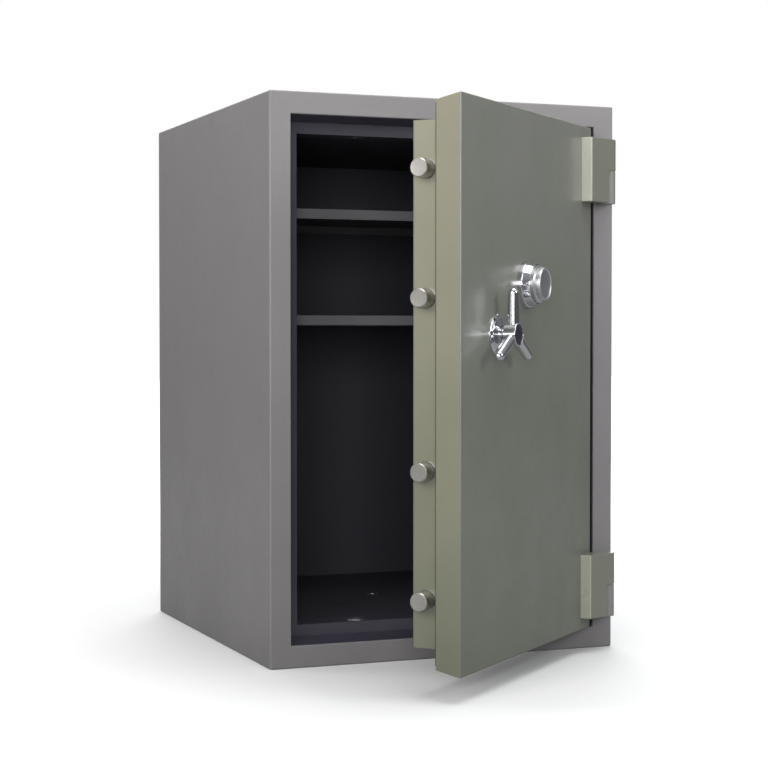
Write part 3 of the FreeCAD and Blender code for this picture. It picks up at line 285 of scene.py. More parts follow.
@dataclass(frozen=True)
class Patches:
    """Cloudy noise that is nought below one level and one above another."""

    scale: float
    detail: float
    low: float
    high: float
    rough: float = 0.5

    def on(self, mix: Recipe, spot: Sock) -> Sock:
        """Lay the patches on a material.

        Args:
            mix: The material being made.
            spot: The point being shaded.

        Returns:
            How much of a patch is there, from nought to one.
        """
        return mix.ramp(mix.noise(spot, self.scale, self.detail, self.rough), self.low, self.high)


@dataclass(frozen=True)
class Enamel:
    """Sprayed and baked paint with a fine orange-peel skin.

    The shade shows in clouds and flecks and, as painted shade, more towards the floor, where less light
    falls. The side colour shows on what lies behind the placed frame's XY plane, in full from side_from on;
    on the door and the hinge leaves the two colours differ as painted light on the faces that face the lamps.
    """

    name: str
    colour: Colour
    shade: Colour
    roughness: float = 0.4
    peel: float = 0.00006
    peel_scale: float = 420.0
    fine_peel: float = 3.1
    fine_share: float = 0.25
    clouds: Patches = Patches(7.0, 4.0, 0.3, 0.7)
    cloud_share: float = 0.14
    cloud_dull: float = 0.05
    fleck: float = 0.25
    flecks: Patches = Patches(900.0, 2.0, 0.62, 0.72, 0.6)
    scuffs: Patches = Patches(38.0, 5.0, 0.52, 0.8, 0.65)
    scuff_dull: float = 0.1
    # painted shade: the colour darkens towards the floor, standing in for less light on the lower parts
    painted_floor_shade: float = 0.0
    painted_shade_height: float = 1.1
    painted_shade_power: float = 1.3
    coat: float = 0.06
    coat_dull: float = 0.22
    side: Colour | None = None
    side_from: float = 3.0 * MM

    def material(self, place: Matrix | None = None) -> Material:
        """Make the paint."""
        mix = Recipe(self.name)
        spot = mix.spot()
        cloud = self.clouds.on(mix, spot)
        colour: Any = self.colour
        # the side colour: the door's paler edges and the hinge leaves' pale main colour are painted light on
        # faces toward the lamps
        if self.side and place is not None:
            behind = 0.0 - mix.axes(mix.spot(place))[2]
            turn = mix.ramp(behind, self.side_from * 0.5, self.side_from)
            colour = mix.blend(turn, self.colour, self.side)
        fleck = self.flecks.on(mix, spot) * self.fleck
        # painted shade towards the floor, mixed into the shade colour's mask with the clouds and flecks
        height = mix.axes(spot)[2]
        low = (1.0 - height / self.painted_shade_height).clamped() ** self.painted_shade_power * self.painted_floor_shade
        mask = (cloud * self.cloud_share + fleck + low).clamped()
        fine = mix.noise(spot, self.peel_scale * self.fine_peel, 1.0) * self.fine_share
        peel = mix.noise(spot, self.peel_scale, 2.0) + fine
        scuff = self.scuffs.on(mix, spot)
        return mix.finish(Base_Color=mix.blend(mask, colour, self.shade),
                          Roughness=self.roughness + scuff * self.scuff_dull + cloud * self.cloud_dull,
                          Normal=mix.bump(peel, self.peel), Coat_Weight=self.coat,
                          Coat_Roughness=self.coat_dull)


class Grain(Enum):
    """How the marks run on bare metal."""

    ROUND = "round"
    LONG = "long"
    CAST = "cast"


@dataclass(frozen=True)
class BareMetal:
    """Machined, rolled or cast metal with tool marks."""

    name: str
    colour: Colour
    shade: Colour
    roughness: float = 0.3
    grain: Grain = Grain.LONG
    pitch: float = 2600.0
    depth: float = 0.00003
    smudge: float = 0.12
    smudges: Patches = Patches(45.0, 5.0, 0.35, 0.75, 0.6)
    smudge_share: float = 0.6
    mark_share: float = 0.4
    mark_dull: float = 0.05
    long_stretch: float = 0.03
    long_pitch: float = 0.4
    cast_pitch: float = 0.25
    wander_scale: float = 90.0
    wander: float = 1.6

    def marks(self, mix: Recipe, place: Matrix | None) -> Sock:
        """Tool marks as a height.

        Args:
            mix: The material being made.
            place: The frame whose Z the round marks turn about.

        Returns:
            The height, from nought to one.
        """
        spot = mix.spot(place)
        if self.grain is Grain.CAST:
            return mix.noise(spot, self.pitch * self.cast_pitch, 4.0, 0.7)
        if self.grain is Grain.LONG:
            along = mix.stretched(spot, (1.0, 1.0, self.long_stretch))
            return mix.noise(along, self.pitch * self.long_pitch, 3.0, 0.6)
        wander = mix.noise(spot, self.wander_scale, 2.0) * self.wander
        return (mix.off_axis(spot) * self.pitch + wander).wave()

    def material(self, place: Matrix | None = None) -> Material:
        """Make the metal."""
        mix = Recipe(self.name)
        spot = mix.spot()
        marks = self.marks(mix, place)
        cloud = self.smudges.on(mix, spot)
        mask = (cloud * self.smudge_share + marks * self.mark_share).clamped()
        return mix.finish(Base_Color=mix.blend(mask, self.colour, self.shade), Metallic=1.0,
                          Roughness=self.roughness + cloud * self.smudge + marks * self.mark_dull,
                          Normal=mix.bump(marks, self.depth))


@dataclass(frozen=True)
class Plating:
    """Bright plate with faint handling marks."""

    name: str
    colour: Colour
    shade: Colour
    roughness: float = 0.05
    haze: Patches = Patches(60.0, 5.0, 0.45, 0.8, 0.6)
    haze_share: float = 0.8
    haze_dull: float = 0.07
    hair: Patches = Patches(900.0, 2.0, 0.6, 0.75)
    hair_stretch: float = 0.15
    hair_dull: float = 0.05
    wave_scale: float = 130.0
    wave: float = 0.00003

    def material(self, place: Matrix | None = None) -> Material:
        """Make the plate."""
        mix = Recipe(self.name)
        spot = mix.spot()
        haze = self.haze.on(mix, spot)
        hair = self.hair.on(mix, mix.stretched(spot, (1.0, self.hair_stretch, 1.0)))
        mask = haze * self.haze_share
        return mix.finish(Base_Color=mix.blend(mask, self.colour, self.shade), Metallic=1.0,
                          Roughness=self.roughness + haze * self.haze_dull + hair * self.hair_dull,
                          Normal=mix.bump(mix.noise(spot, self.wave_scale, 2.0), self.wave))


@dataclass(frozen=True)
class SpunDial:
    """Satin dial metal with fine rings, a painted sheen of two light and dark sweeps round it, and a painted
    scale round its skirt.
    """

    name: str
    colour: Colour
    shade: Colour
    ink: Colour
    scale_inner: float
    scale_outer: float
    divisions: int = 100
    roughness: float = 0.3
    ring_pitch: float = 5200.0
    ring_wander: float = 2.0
    ring_share: float = 0.35
    ring_dull: float = 0.08
    ring_depth: float = 0.00002
    painted_sheen_share: float = 0.4
    sweep_dull: float = 0.06
    ink_sunk: float = 0.8
    short_by: float = 0.0012
    line_share: float = 0.2
    tenth_share: float = 0.03

    def material(self, place: Matrix | None = None) -> Material:
        """Make the dial's metal and its scale."""
        mix = Recipe(self.name)
        spot = mix.spot(place)
        x, y, _ = mix.axes(spot)
        radius = mix.off_axis(spot)
        wander = mix.noise(spot, 60.0, 2.0) * self.ring_wander
        rings = (radius * self.ring_pitch + wander).wave()
        turn = x.maths("ARCTAN2", y, x) / (2.0 * math.pi) + 0.5
        # painted sheen: two light and dark sweeps round the dial stand in for the bow-tie highlight of spun
        # metal
        painted_sheen = (turn * (4.0 * math.pi)).wave()
        place_in = (turn * float(self.divisions)).fract()
        tenth = (turn * (self.divisions / 10.0)).fract()
        line = (place_in < self.line_share) * (radius > self.scale_inner + self.short_by)
        long_line = (tenth < self.tenth_share) * (radius > self.scale_inner)
        ink = ((line + long_line) * (radius < self.scale_outer)).clamped()
        mask = (rings * self.ring_share + painted_sheen * self.painted_sheen_share).clamped()
        metal = mix.blend(mask, self.colour, self.shade)
        return mix.finish(Base_Color=mix.blend(ink, metal, self.ink), Metallic=1.0 - ink,
                          Roughness=self.roughness + rings * self.ring_dull + painted_sheen * self.sweep_dull,
                          Normal=mix.bump(rings - ink * self.ink_sunk, self.ring_depth))


@dataclass(frozen=True)
class Moulded:
    """Gloss plastic or rubber."""

    name: str
    colour: Colour
    shade: Colour
    roughness: float = 0.3
    grain: float = 0.00004
    grain_scale: float = 700.0
    clouds: Patches = Patches(90.0, 4.0, 0.35, 0.7)
    cloud_dull: float = 0.12

    def material(self, place: Matrix | None = None) -> Material:
        """Make the plastic."""
        mix = Recipe(self.name)
        spot = mix.spot()
        cloud = self.clouds.on(mix, spot)
        return mix.finish(Base_Color=mix.blend(cloud, self.colour, self.shade),
                          Roughness=self.roughness + cloud * self.cloud_dull,
                          Normal=mix.bump(mix.noise(spot, self.grain_scale, 3.0), self.grain))


@dataclass(frozen=True)
class Mineral:
    """Cast fill with small stones and pores."""

    name: str
    colour: Colour
    shade: Colour
    roughness: float = 0.85
    stone_scale: float = 140.0
    stone_share: float = 0.6
    stone_polish: float = 0.15
    pores: Patches = Patches(260.0, 5.0, 0.3, 0.7, 0.7)
    pore_share: float = 0.5
    relief: float = 0.0004

    def material(self, place: Matrix | None = None) -> Material:
        """Make the fill."""
        mix = Recipe(self.name)
        spot = mix.spot()
        stones = mix.node("ShaderNodeTexVoronoi", None, {"Vector": spot, "Scale": self.stone_scale},
                          "Distance")
        pores = self.pores.on(mix, spot)
        mask = (stones * self.stone_share + pores * self.pore_share).clamped()
        return mix.finish(Base_Color=mix.blend(mask, self.colour, self.shade),
                          Roughness=self.roughness - stones * self.stone_polish,
                          Normal=mix.bump(pores + stones, self.relief))


FINISHES: dict[str, Finish] = {
    # the body, door, leaf and lug paints darken towards the floor as painted shade
    "body_paint": Enamel("body_enamel_painted_shade", (0.245, 0.234, 0.24), (0.14, 0.134, 0.138), 0.42, painted_floor_shade=0.6),
    # the door's side colour is paler and warmer: painted light on its edges, which face the key lamp
    "door_paint": Enamel("door_enamel_painted_light", (0.222, 0.225, 0.2), (0.085, 0.1, 0.066), 0.34, painted_floor_shade=0.72,
                         peel_scale=380.0, fleck=0.12, coat=0.3, side=(0.3, 0.29, 0.215)),
    # the leaf's pale main colour is a painted highlight on its end face away from the pin; its side colour is
    # the door's paint
    "leaf_paint": Enamel("leaf_enamel_painted_highlight", (0.5, 0.51, 0.42), (0.12, 0.135, 0.09), 0.26, painted_floor_shade=0.4,
                         peel_scale=380.0, fleck=0.1, coat=0.4, side=(0.2, 0.203, 0.172), side_from=2.4 * MM),
    "jamb_paint": Enamel("jamb_enamel", (0.045, 0.043, 0.06), (0.025, 0.024, 0.036), 0.28, coat=0.4),
    "liner_paint": Enamel("liner_enamel", (0.038, 0.036, 0.047), (0.024, 0.023, 0.03), 0.45, coat=0.0),
    "shelf_paint": Enamel("shelf_enamel", (0.108, 0.108, 0.116), (0.07, 0.07, 0.078), 0.45),
    "lug_paint": Enamel("lug_enamel_painted_shade", (0.24, 0.24, 0.23), (0.16, 0.16, 0.15), 0.4, painted_floor_shade=0.4),
    "bolt_steel": BareMetal("bolt_steel", (0.6, 0.585, 0.54), (0.36, 0.35, 0.33), 0.26, Grain.ROUND),
    "plain_steel": BareMetal("plain_steel", (0.45, 0.45, 0.46), (0.33, 0.33, 0.34), 0.34),
    "hard_steel": BareMetal("hard_steel", (0.3, 0.3, 0.32), (0.2, 0.19, 0.2), 0.38, Grain.CAST),
    "handle_chrome": Plating("handle_chrome", (0.66, 0.66, 0.69), (0.5, 0.5, 0.53)),
    "dial_alloy": BareMetal("dial_alloy", (0.6, 0.61, 0.62), (0.45, 0.45, 0.47), 0.34, Grain.ROUND, 5200.0),
    "cap_black": Moulded("cap_black", (0.03, 0.026, 0.045), (0.02, 0.018, 0.03), 0.16),
    "lock_zinc": BareMetal("lock_zinc", (0.5, 0.51, 0.52), (0.38, 0.39, 0.4), 0.42, Grain.CAST),
    "lock_brass": BareMetal("lock_brass", (0.68, 0.5, 0.22), (0.5, 0.36, 0.15), 0.28, Grain.ROUND),
    "seal_rubber": Moulded("seal_rubber", (0.05, 0.045, 0.04), (0.03, 0.028, 0.025), 0.7, 0.0002),
    "cast_fill": Mineral("cast_fill", (0.42, 0.41, 0.39), (0.3, 0.29, 0.27)),
}


# ---------------------------------------------------------------- bench tools

def put_down() -> None:
    """Leave edit mode and let go of everything."""
    if bpy.context.object and bpy.context.object.mode != "OBJECT":
        bpy.ops.object.mode_set(mode="OBJECT")
    bpy.ops.object.select_all(action="DESELECT")


def pick_up(piece: Object) -> None:
    """Hold one piece only."""
    put_down()
    piece.select_set(True)
    bpy.context.view_layer.objects.active = piece


def edit(piece: Object) -> None:
    """Open a piece for editing by its faces, with nothing selected."""
    pick_up(piece)
    bpy.ops.object.mode_set(mode="EDIT")
    bpy.ops.mesh.select_mode(type="FACE")
    bpy.ops.mesh.select_all(action="DESELECT")


def choose_faces(piece: Object, test: Any) -> int:
    """Select the faces of the piece in hand that pass a test.

    Args:
        piece: The piece, open for editing.
        test: Called with a polygon, says whether it is wanted.

    Returns:
        How many were selected.
    """
    bpy.ops.object.mode_set(mode="OBJECT")
    count = 0
    for face in piece.data.polygons:
        face.select = bool(test(face))
        count += face.select
    bpy.ops.object.mode_set(mode="EDIT")
    return count


def face_out(piece: Object) -> None:
    """Turn every face outwards."""
    pick_up(piece)
    bpy.ops.object.mode_set(mode="EDIT")
    bpy.ops.mesh.select_all(action="SELECT")
    bpy.ops.mesh.normals_make_consistent(inside=False)
    bpy.ops.object.mode_set(mode="OBJECT")


def turned(name: str, profile: Profile, sides: int = 96, bored: bool = False) -> Object:
    """Draw out a disc into a turned shape about Z.

    Args:
        name: The piece's name.
        profile: Steps of (radius, height), from the first end to the last.
        sides: Faces round the shape.
        bored: Join the first and last discs into a bore.

    Returns:
        The piece, about the origin.
    """
    radius, height = profile[0]
    put_down()
    bpy.ops.mesh.primitive_circle_add(vertices=sides, radius=radius, fill_type="NGON", location=(0, 0, 0))
    piece = bpy.context.object
    piece.name = piece.data.name = name
    edit(piece)
    bpy.ops.mesh.select_all(action="SELECT")
    bpy.ops.transform.translate(value=(0, 0, height))
    for next_radius, next_height in profile[1:]:
        bpy.ops.mesh.extrude_region_move(TRANSFORM_OT_translate={"value": (0, 0, next_height - height)})
        grow = next_radius / radius
        bpy.ops.transform.resize(value=(grow, grow, 1.0), center_override=(0, 0, next_height))
        radius, height = next_radius, next_height
    if bored:
        choose_faces(piece, lambda face: len(face.vertices) == sides)
        bpy.ops.mesh.bridge_edge_loops()
    face_out(piece)
    return piece


def eased(piece: Object, width: float, steps: int = 2, angle: float = 30.0) -> Object:
    """Round a piece's sharp edges and shade its curves smooth.

    Args:
        piece: The piece.
        width: The rounding's width.
        steps: Segments across it.
        angle: The sharpest edge in degrees that is left alone.

    Returns:
        The same piece.
    """
    pick_up(piece)
    if width > 0.0:
        bevel = piece.modifiers.new("eased", "BEVEL")
        bevel.width = width
        bevel.segments = steps
        bevel.limit_method = "ANGLE"
        bevel.angle_limit = math.radians(angle)
        bevel.use_clamp_overlap = True
        bpy.ops.object.modifier_apply(modifier=bevel.name)
    bpy.ops.object.shade_smooth_by_angle(angle=math.radians(SMOOTH_BELOW))
    level = piece.modifiers.new("level", "WEIGHTED_NORMAL")
    level.keep_sharp = True
    bpy.ops.object.modifier_apply(modifier=level.name)
    return piece


def placed(piece: Object, place: Matrix) -> Object:
    """Move a piece to its place and write the place into its mesh."""
    pick_up(piece)
    piece.matrix_world = place @ piece.matrix_world
    bpy.ops.object.transform_apply(location=True, rotation=True, scale=True)
    return piece


def joined(name: str, pieces: list[Object]) -> Object:
    """Make one object of several."""
    put_down()
    for piece in pieces:
        piece.select_set(True)
    bpy.context.view_layer.objects.active = pieces[0]
    bpy.ops.object.join()
    pieces[0].name = pieces[0].data.name = name
    return pieces[0]


def copied(piece: Object, name: str) -> Object:
    """A copy of a piece with a mesh of its own."""
    twin = piece.copy()
    twin.data = piece.data.copy()
    twin.name = twin.data.name = name
    bpy.context.scene.collection.objects.link(twin)
    return twin


def dress(piece: Object, material: Material) -> None:
    """Give a piece one material."""
    piece.data.materials.clear()
    piece.data.materials.append(material)


def rounded_end(radius: float, reach: float, steps: int = 7) -> Profile:
    """Steps of a round end that stops at a height."""
    turns = [math.radians(90.0 * i / steps) for i in range(1, steps + 1)]
    return [(max(radius * math.cos(a), radius * POLE), reach - radius + radius * math.sin(a)) for a in turns]


class Shop:
    """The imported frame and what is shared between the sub-assemblies."""

    def __init__(self, frame: dict[str, Any]) -> None:
        """Read bodies, slots and joints from the frame."""
        record = frame["record"]
        self.nodes: dict[str, Object] = frame["nodes"]
        self.joints = {joint["name"]: joint for joint in frame["joints"]}
        self.slots = {part["node"]: part["material_slot"] for part in record["subparts"]}
        self.bodies = {node: body for body, nodes in record["behaviour"]["bodies"].items() for node in nodes}
        self.shared = {slot: FINISHES[slot].material() for slot in sorted(set(self.slots.values()))}
        self.done: set[str] = set()
        swing = self.joints["door_swing"]
        open_angle = -math.radians(swing["range_deg"][0])
        self.door = Matrix.Translation(swing["pos_m"]) @ Matrix.Rotation(open_angle, 4, "Z")

    def on_door(self, joint: str) -> Matrix:
        """A frame at a door joint, with Z out of the door's face and Y up."""
        out = -Vector(self.joints[joint]["axis"]).normalized()
        up = Vector((0.0, 0.0, 1.0))
        right = up.cross(out)
        turn = Matrix((right, up, out)).transposed().to_4x4()
        return Matrix.Translation(self.joints[joint]["pos_m"]) @ turn

    def door_skin_painted_light(self) -> Material:
        """The door's paint: paler and warmer on its edges than on its face, as painted light on the edges
        that face the lamps, and darker low down as painted shade.
        """
        return FINISHES["door_paint"].material(self.on_door("handle_turn"))

    def extent(self, node: str, place: Matrix | None = None) -> tuple[Vector, Vector]:
        """The lowest and highest corner of a CAD node in a placed frame.

        Args:
            node: The node's name.
            place: The frame, or None for the row's own.

        Returns:
            Two corners.
        """
        back = (place or Matrix.Identity(4)).inverted()
        points = [back @ vertex.co for vertex in self.nodes[node].data.vertices]
        low = Vector([min(p[i] for p in points) for i in range(3)])
        high = Vector([max(p[i] for p in points) for i in range(3)])
        return low, high

    def hand_over(self, piece: Object, node: str, material: Material | None = None,
                  others: tuple[str, ...] = ()) -> Object:
        """Let a piece stand for a CAD node.

        Args:
            piece: The finished piece.
            node: The CAD node that it stands for.
            material: Its material, or None for the node's own finish.
            others: More nodes that it stands for.

        Returns:
            The piece.
        """
        slot = self.slots[node]
        dress(piece, material or self.shared[slot])
        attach(piece, self.bodies[node])
        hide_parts(node, *others)
        self.done.update((node, *others))
        LOG.info("made %s for %s", piece.name, node)
        return piece

    def refined(self, node: str, name: str, width: float, steps: int = 2,
                material: Material | None = None) -> Object:
        """Copy a CAD node, merge it, round its edges and let it stand for the node.

        Args:
            node: The CAD node.
            name: The new piece's name.
            width: The rounding of its edges.
            steps: Segments across the rounding.
            material: Its material, or None for the node's own finish.

        Returns:
            The new piece.
        """
        piece = copied(self.nodes[node], name)
        piece.parent = None
        for key in list(piece.keys()):
            if key.startswith("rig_"):
                del piece[key]
        pick_up(piece)
        bpy.ops.object.mode_set(mode="EDIT")
        bpy.ops.mesh.select_all(action="SELECT")
        bpy.ops.mesh.remove_doubles(threshold=WELD)
        bpy.ops.mesh.dissolve_limited(angle_limit=math.radians(FLAT_WITHIN))
        bpy.ops.object.mode_set(mode="OBJECT")
        if piece.data.has_custom_normals:
            bpy.ops.mesh.customdata_custom_splitnormals_clear()
        eased(piece, width, steps)
        return self.hand_over(piece, node, material)

    def dress_rest(self) -> None:
        """Give every CAD node that is left its own finish."""
        for node, piece in self.nodes.items():
            if node not in self.done:
                dress(piece, self.shared[self.slots[node]])
                LOG.info("dressed %s", node)


# ---------------------------------------------------------------- sub-assemblies

@dataclass
class Carcass:
    """The fixed body: case, jamb, lining, shelves and hinge lugs."""

    shop: Shop
    case_edge: float = 2.0 * MM
    edge: float = 0.8 * MM
    sheet_edge: float = 0.4 * MM

    def build(self) -> None:
        """Refine every piece of the body that shows."""
        self.shop.refined("outer_shell", "case", self.case_edge, 3)
        self.shop.refined("jamb_frame", "jamb", self.edge)
        self.shop.refined("inner_liner", "lining", 0.0)
        for node in ("shelf_upper", "shelf_lower"):
            self.shop.refined(node, node + "_tray", self.sheet_edge)
        for side in ("upper", "lower"):
            self.shop.refined(side + "_hinge_lug", side + "_lug", self.edge)


@dataclass
class DoorLeaf:
    """The door slab, its plug, cover, dead bar, screws and hinge leaves."""

    shop: Shop
    edge: float = 0.6 * MM
    head_edge: float = 0.5 * MM
    head_area: float = 40.0 * MM * MM
    head_facing: float = 0.99
    socket_in: float = 2.4 * MM
    socket_deep: float = 1.3 * MM

    def build(self) -> None:
        """Refine the door's pieces."""
        self.shop.refined("door_front_pan", "slab", 0.0, 2, self.shop.door_skin_painted_light())
        self.shop.refined("door_plug_pan", "plug", self.edge, 2, self.shop.door_skin_painted_light())
        self.shop.refined("door_back_cover", "back_cover", self.edge)
        self.shop.refined("dead_bar", "dead_bar_steel", self.edge)
        self.socketed("cover_screws", "cover_screw_set")
        self.socketed("dead_bar_screws", "dead_bar_screw_set")
        for side in ("upper", "lower"):
            self.shop.refined(side + "_hinge_leaf", side + "_leaf", self.edge, 3, self.leaf_skin_painted_highlight(side))

    def socketed(self, node: str, name: str) -> None:
        """Round the heads of a node's screws and sink a socket in each.

        Args:
            node: The CAD node of the screws.
            name: The new piece's name.
        """
        piece = self.shop.refined(node, name, self.head_edge)
        inwards = self.shop.door.to_3x3() @ Vector((0.0, 1.0, 0.0))

        def is_head(face: bpy.types.MeshPolygon) -> bool:
            """Say whether a face is the flat top of a screw head."""
            return face.normal.dot(inwards) > self.head_facing and face.area > self.head_area

        edit(piece)
        count = choose_faces(piece, is_head)
        bpy.ops.mesh.inset(thickness=self.socket_in, depth=-self.socket_deep, use_individual=True)
        bpy.ops.object.mode_set(mode="OBJECT")
        LOG.info("sank %d sockets in %s", count, name)

    def leaf_skin_painted_highlight(self, side: str) -> Material:
        """A hinge leaf's paint, pale in a narrow band at its end away from the pin as a painted highlight
        where that face meets the key lamp.

        Args:
            side: Upper or lower.

        Returns:
            The material.
        """
        low, _ = self.shop.extent(side + "_hinge_leaf", self.shop.door)
        outward = Matrix.Rotation(math.radians(-90), 4, "Y")
        place = self.shop.door @ Matrix.Translation((low.x, 0.0, 0.0)) @ outward
        return FINISHES["leaf_paint"].material(place)


@dataclass
class RoundBolts:
    """The six round bolts with turned ends."""

    shop: Shop
    radius: float = 16.0 * MM
    length: float = 61.0 * MM
    chamfer: float = 1.5 * MM
    dish: float = 0.1 * MM
    dish_edge: float = 0.84
    dish_floor: float = 0.8
    dish_middle: float = 0.04
    edge: float = 0.15 * MM
    edge_angle: float = 20.0
    sides: int = 80

    def bolt(self, name: str) -> Object:
        """One bolt along Z with its tip at the origin."""
        profile = [(self.radius, -self.length), (self.radius, -self.chamfer),
                   (self.radius - self.chamfer, 0.0), (self.radius * self.dish_edge, 0.0),
                   (self.radius * self.dish_floor, -self.dish), (self.radius * self.dish_middle, -self.dish)]
        return eased(turned(name, profile, self.sides), self.edge, 2, self.edge_angle)

    def place_of(self, node: str) -> Matrix:
        """The tip's frame of a bolt, with Z out of the tip."""
        low, high = self.shop.extent(node, self.shop.door)
        middle = (low + high) / 2
        if node.startswith("side"):
            tip, turn = Vector((low.x, middle.y, middle.z)), Matrix.Rotation(math.radians(-90), 4, "Y")
        elif node.startswith("top"):
            tip, turn = Vector((middle.x, middle.y, high.z)), Matrix.Identity(4)
        else:
            tip, turn = Vector((middle.x, middle.y, low.z)), Matrix.Rotation(math.radians(180), 4, "X")
        return self.shop.door @ Matrix.Translation(tip) @ turn

    def build(self) -> None:
        """Make the bolts one by one."""
        nodes = [f"side_bolt_{i}" for i in range(1, 5)] + ["top_bolt", "bottom_bolt"]
        for node in nodes:
            place = self.place_of(node)
            piece = placed(self.bolt(node + "_bar"), place)
            self.shop.hand_over(piece, node, FINISHES["bolt_steel"].material(place))


@dataclass
class HandleSet:
    """Hub, spokes, cap and rosette of the handle.

    cap_crown holds shares of the cap's radius with the drop from its top, and rosette_steps insets from the
    rosette's rim with their heights.
    """

    shop: Shop
    hub_r: float = 20.0 * MM
    hub_edge: float = 1.0 * MM
    neck_r: float = 13.0 * MM
    neck_low: float = 0.5 * MM
    neck_high: float = 10.5 * MM
    throat_out: float = 0.8 * MM
    throat_high: float = 13.0 * MM
    hub_front: float = 41.0 * MM
    flare: float = 19.4 * MM
    flare_in: float = 1.6 * MM
    flare_down: float = 2.0 * MM
    cap_r: float = 17.8 * MM
    cap_t: float = 2.5 * MM
    cap_gap: float = 0.05 * MM
    cap_edge: float = 1.0 * MM
    cap_crown: Steps = ((0.95, 0.7 * MM), (0.75, 0.35 * MM), (0.5, 0.15 * MM), (0.2, 0.03 * MM))
    rosette_r: float = 35.0 * MM
    rosette_h: float = 9.0 * MM
    rosette_gap: float = 0.5 * MM
    rosette_steps: Steps = ((0.0, 2.0 * MM), (2.0 * MM, 3.4 * MM), (6.0 * MM, 5.0 * MM),
                            (12.0 * MM, 6.6 * MM))
    rosette_brow: float = 4.5 * MM
    rosette_brow_h: float = 8.2 * MM
    rosette_land: float = 2.0 * MM
    spoke_proud: float = 30.0 * MM
    spoke_reach: float = 80.0 * MM
    spoke_start: float = 15.5 * MM
    spoke_root_r: float = 10.3 * MM
    spoke_tip_r: float = 9.0 * MM
    spokes: int = 3

    def hub(self) -> Object:
        """The hub with its flared neck."""
        profile = [(self.neck_r, self.neck_low), (self.neck_r, self.neck_high),
                   (self.neck_r + self.throat_out, self.throat_high),
                   (self.hub_r - self.flare_in, self.flare - self.flare_down), (self.hub_r, self.flare),
                   (self.hub_r, self.hub_front - self.hub_edge), (self.hub_r - self.hub_edge, self.hub_front),
                   (self.cap_r, self.hub_front), (self.cap_r, self.hub_front - self.cap_t)]
        return eased(turned("hub", profile), 0.5 * MM, 3)

    def cap(self) -> Object:
        """The inset cap, slightly crowned."""
        side = self.cap_r - self.cap_gap
        profile = [(side, self.hub_front - self.cap_t), (side, self.hub_front - self.cap_edge)]
        profile += [(self.cap_r * share, self.hub_front - drop) for share, drop in self.cap_crown]
        return eased(turned("hub_cap", profile, 72), 0.2 * MM)

    def rosette(self) -> Object:
        """The domed plate with its bore."""
        bore = self.neck_r + self.rosette_gap
        profile = [(bore, 0.0), (self.rosette_r, 0.0)]
        profile += [(self.rosette_r - inset, height) for inset, height in self.rosette_steps]
        profile += [(bore + self.rosette_brow, self.rosette_brow_h),
                    (bore + self.rosette_land, self.rosette_h), (bore, self.rosette_h)]
        return eased(turned("rosette", profile, 112, bored=True), 0.3 * MM)

    def spoke_set(self, place: Matrix) -> Object:
        """Three spokes made one by one and joined."""
        straight = self.spoke_reach - self.spoke_tip_r
        profile = [(self.spoke_root_r, self.spoke_start), (self.spoke_tip_r, straight)]
        profile += rounded_end(self.spoke_tip_r, self.spoke_reach)
        model = eased(turned("spoke_set", profile, 56), 0.0)
        bars = [model] + [copied(model, f"spoke_{i}") for i in range(1, self.spokes)]
        lift = Matrix.Translation((0.0, 0.0, self.spoke_proud))
        upright = Matrix.Rotation(math.radians(-90.0), 4, "X")
        for i, bar in enumerate(bars):
            turn = Matrix.Rotation(math.radians(360.0 * i / self.spokes), 4, "Z")
            placed(bar, place @ lift @ turn @ upright)
        return joined("spoke_set", bars)

    def build(self) -> None:
        """Make the handle's pieces on its joint."""
        place = self.shop.on_door("handle_turn")
        self.shop.hand_over(placed(self.hub(), place), "handle_hub")
        self.shop.hand_over(placed(self.cap(), place), "handle_cap")
        self.shop.hand_over(placed(self.rosette(), place), "handle_rosette")
        self.shop.hand_over(self.spoke_set(place), "handle_spokes")


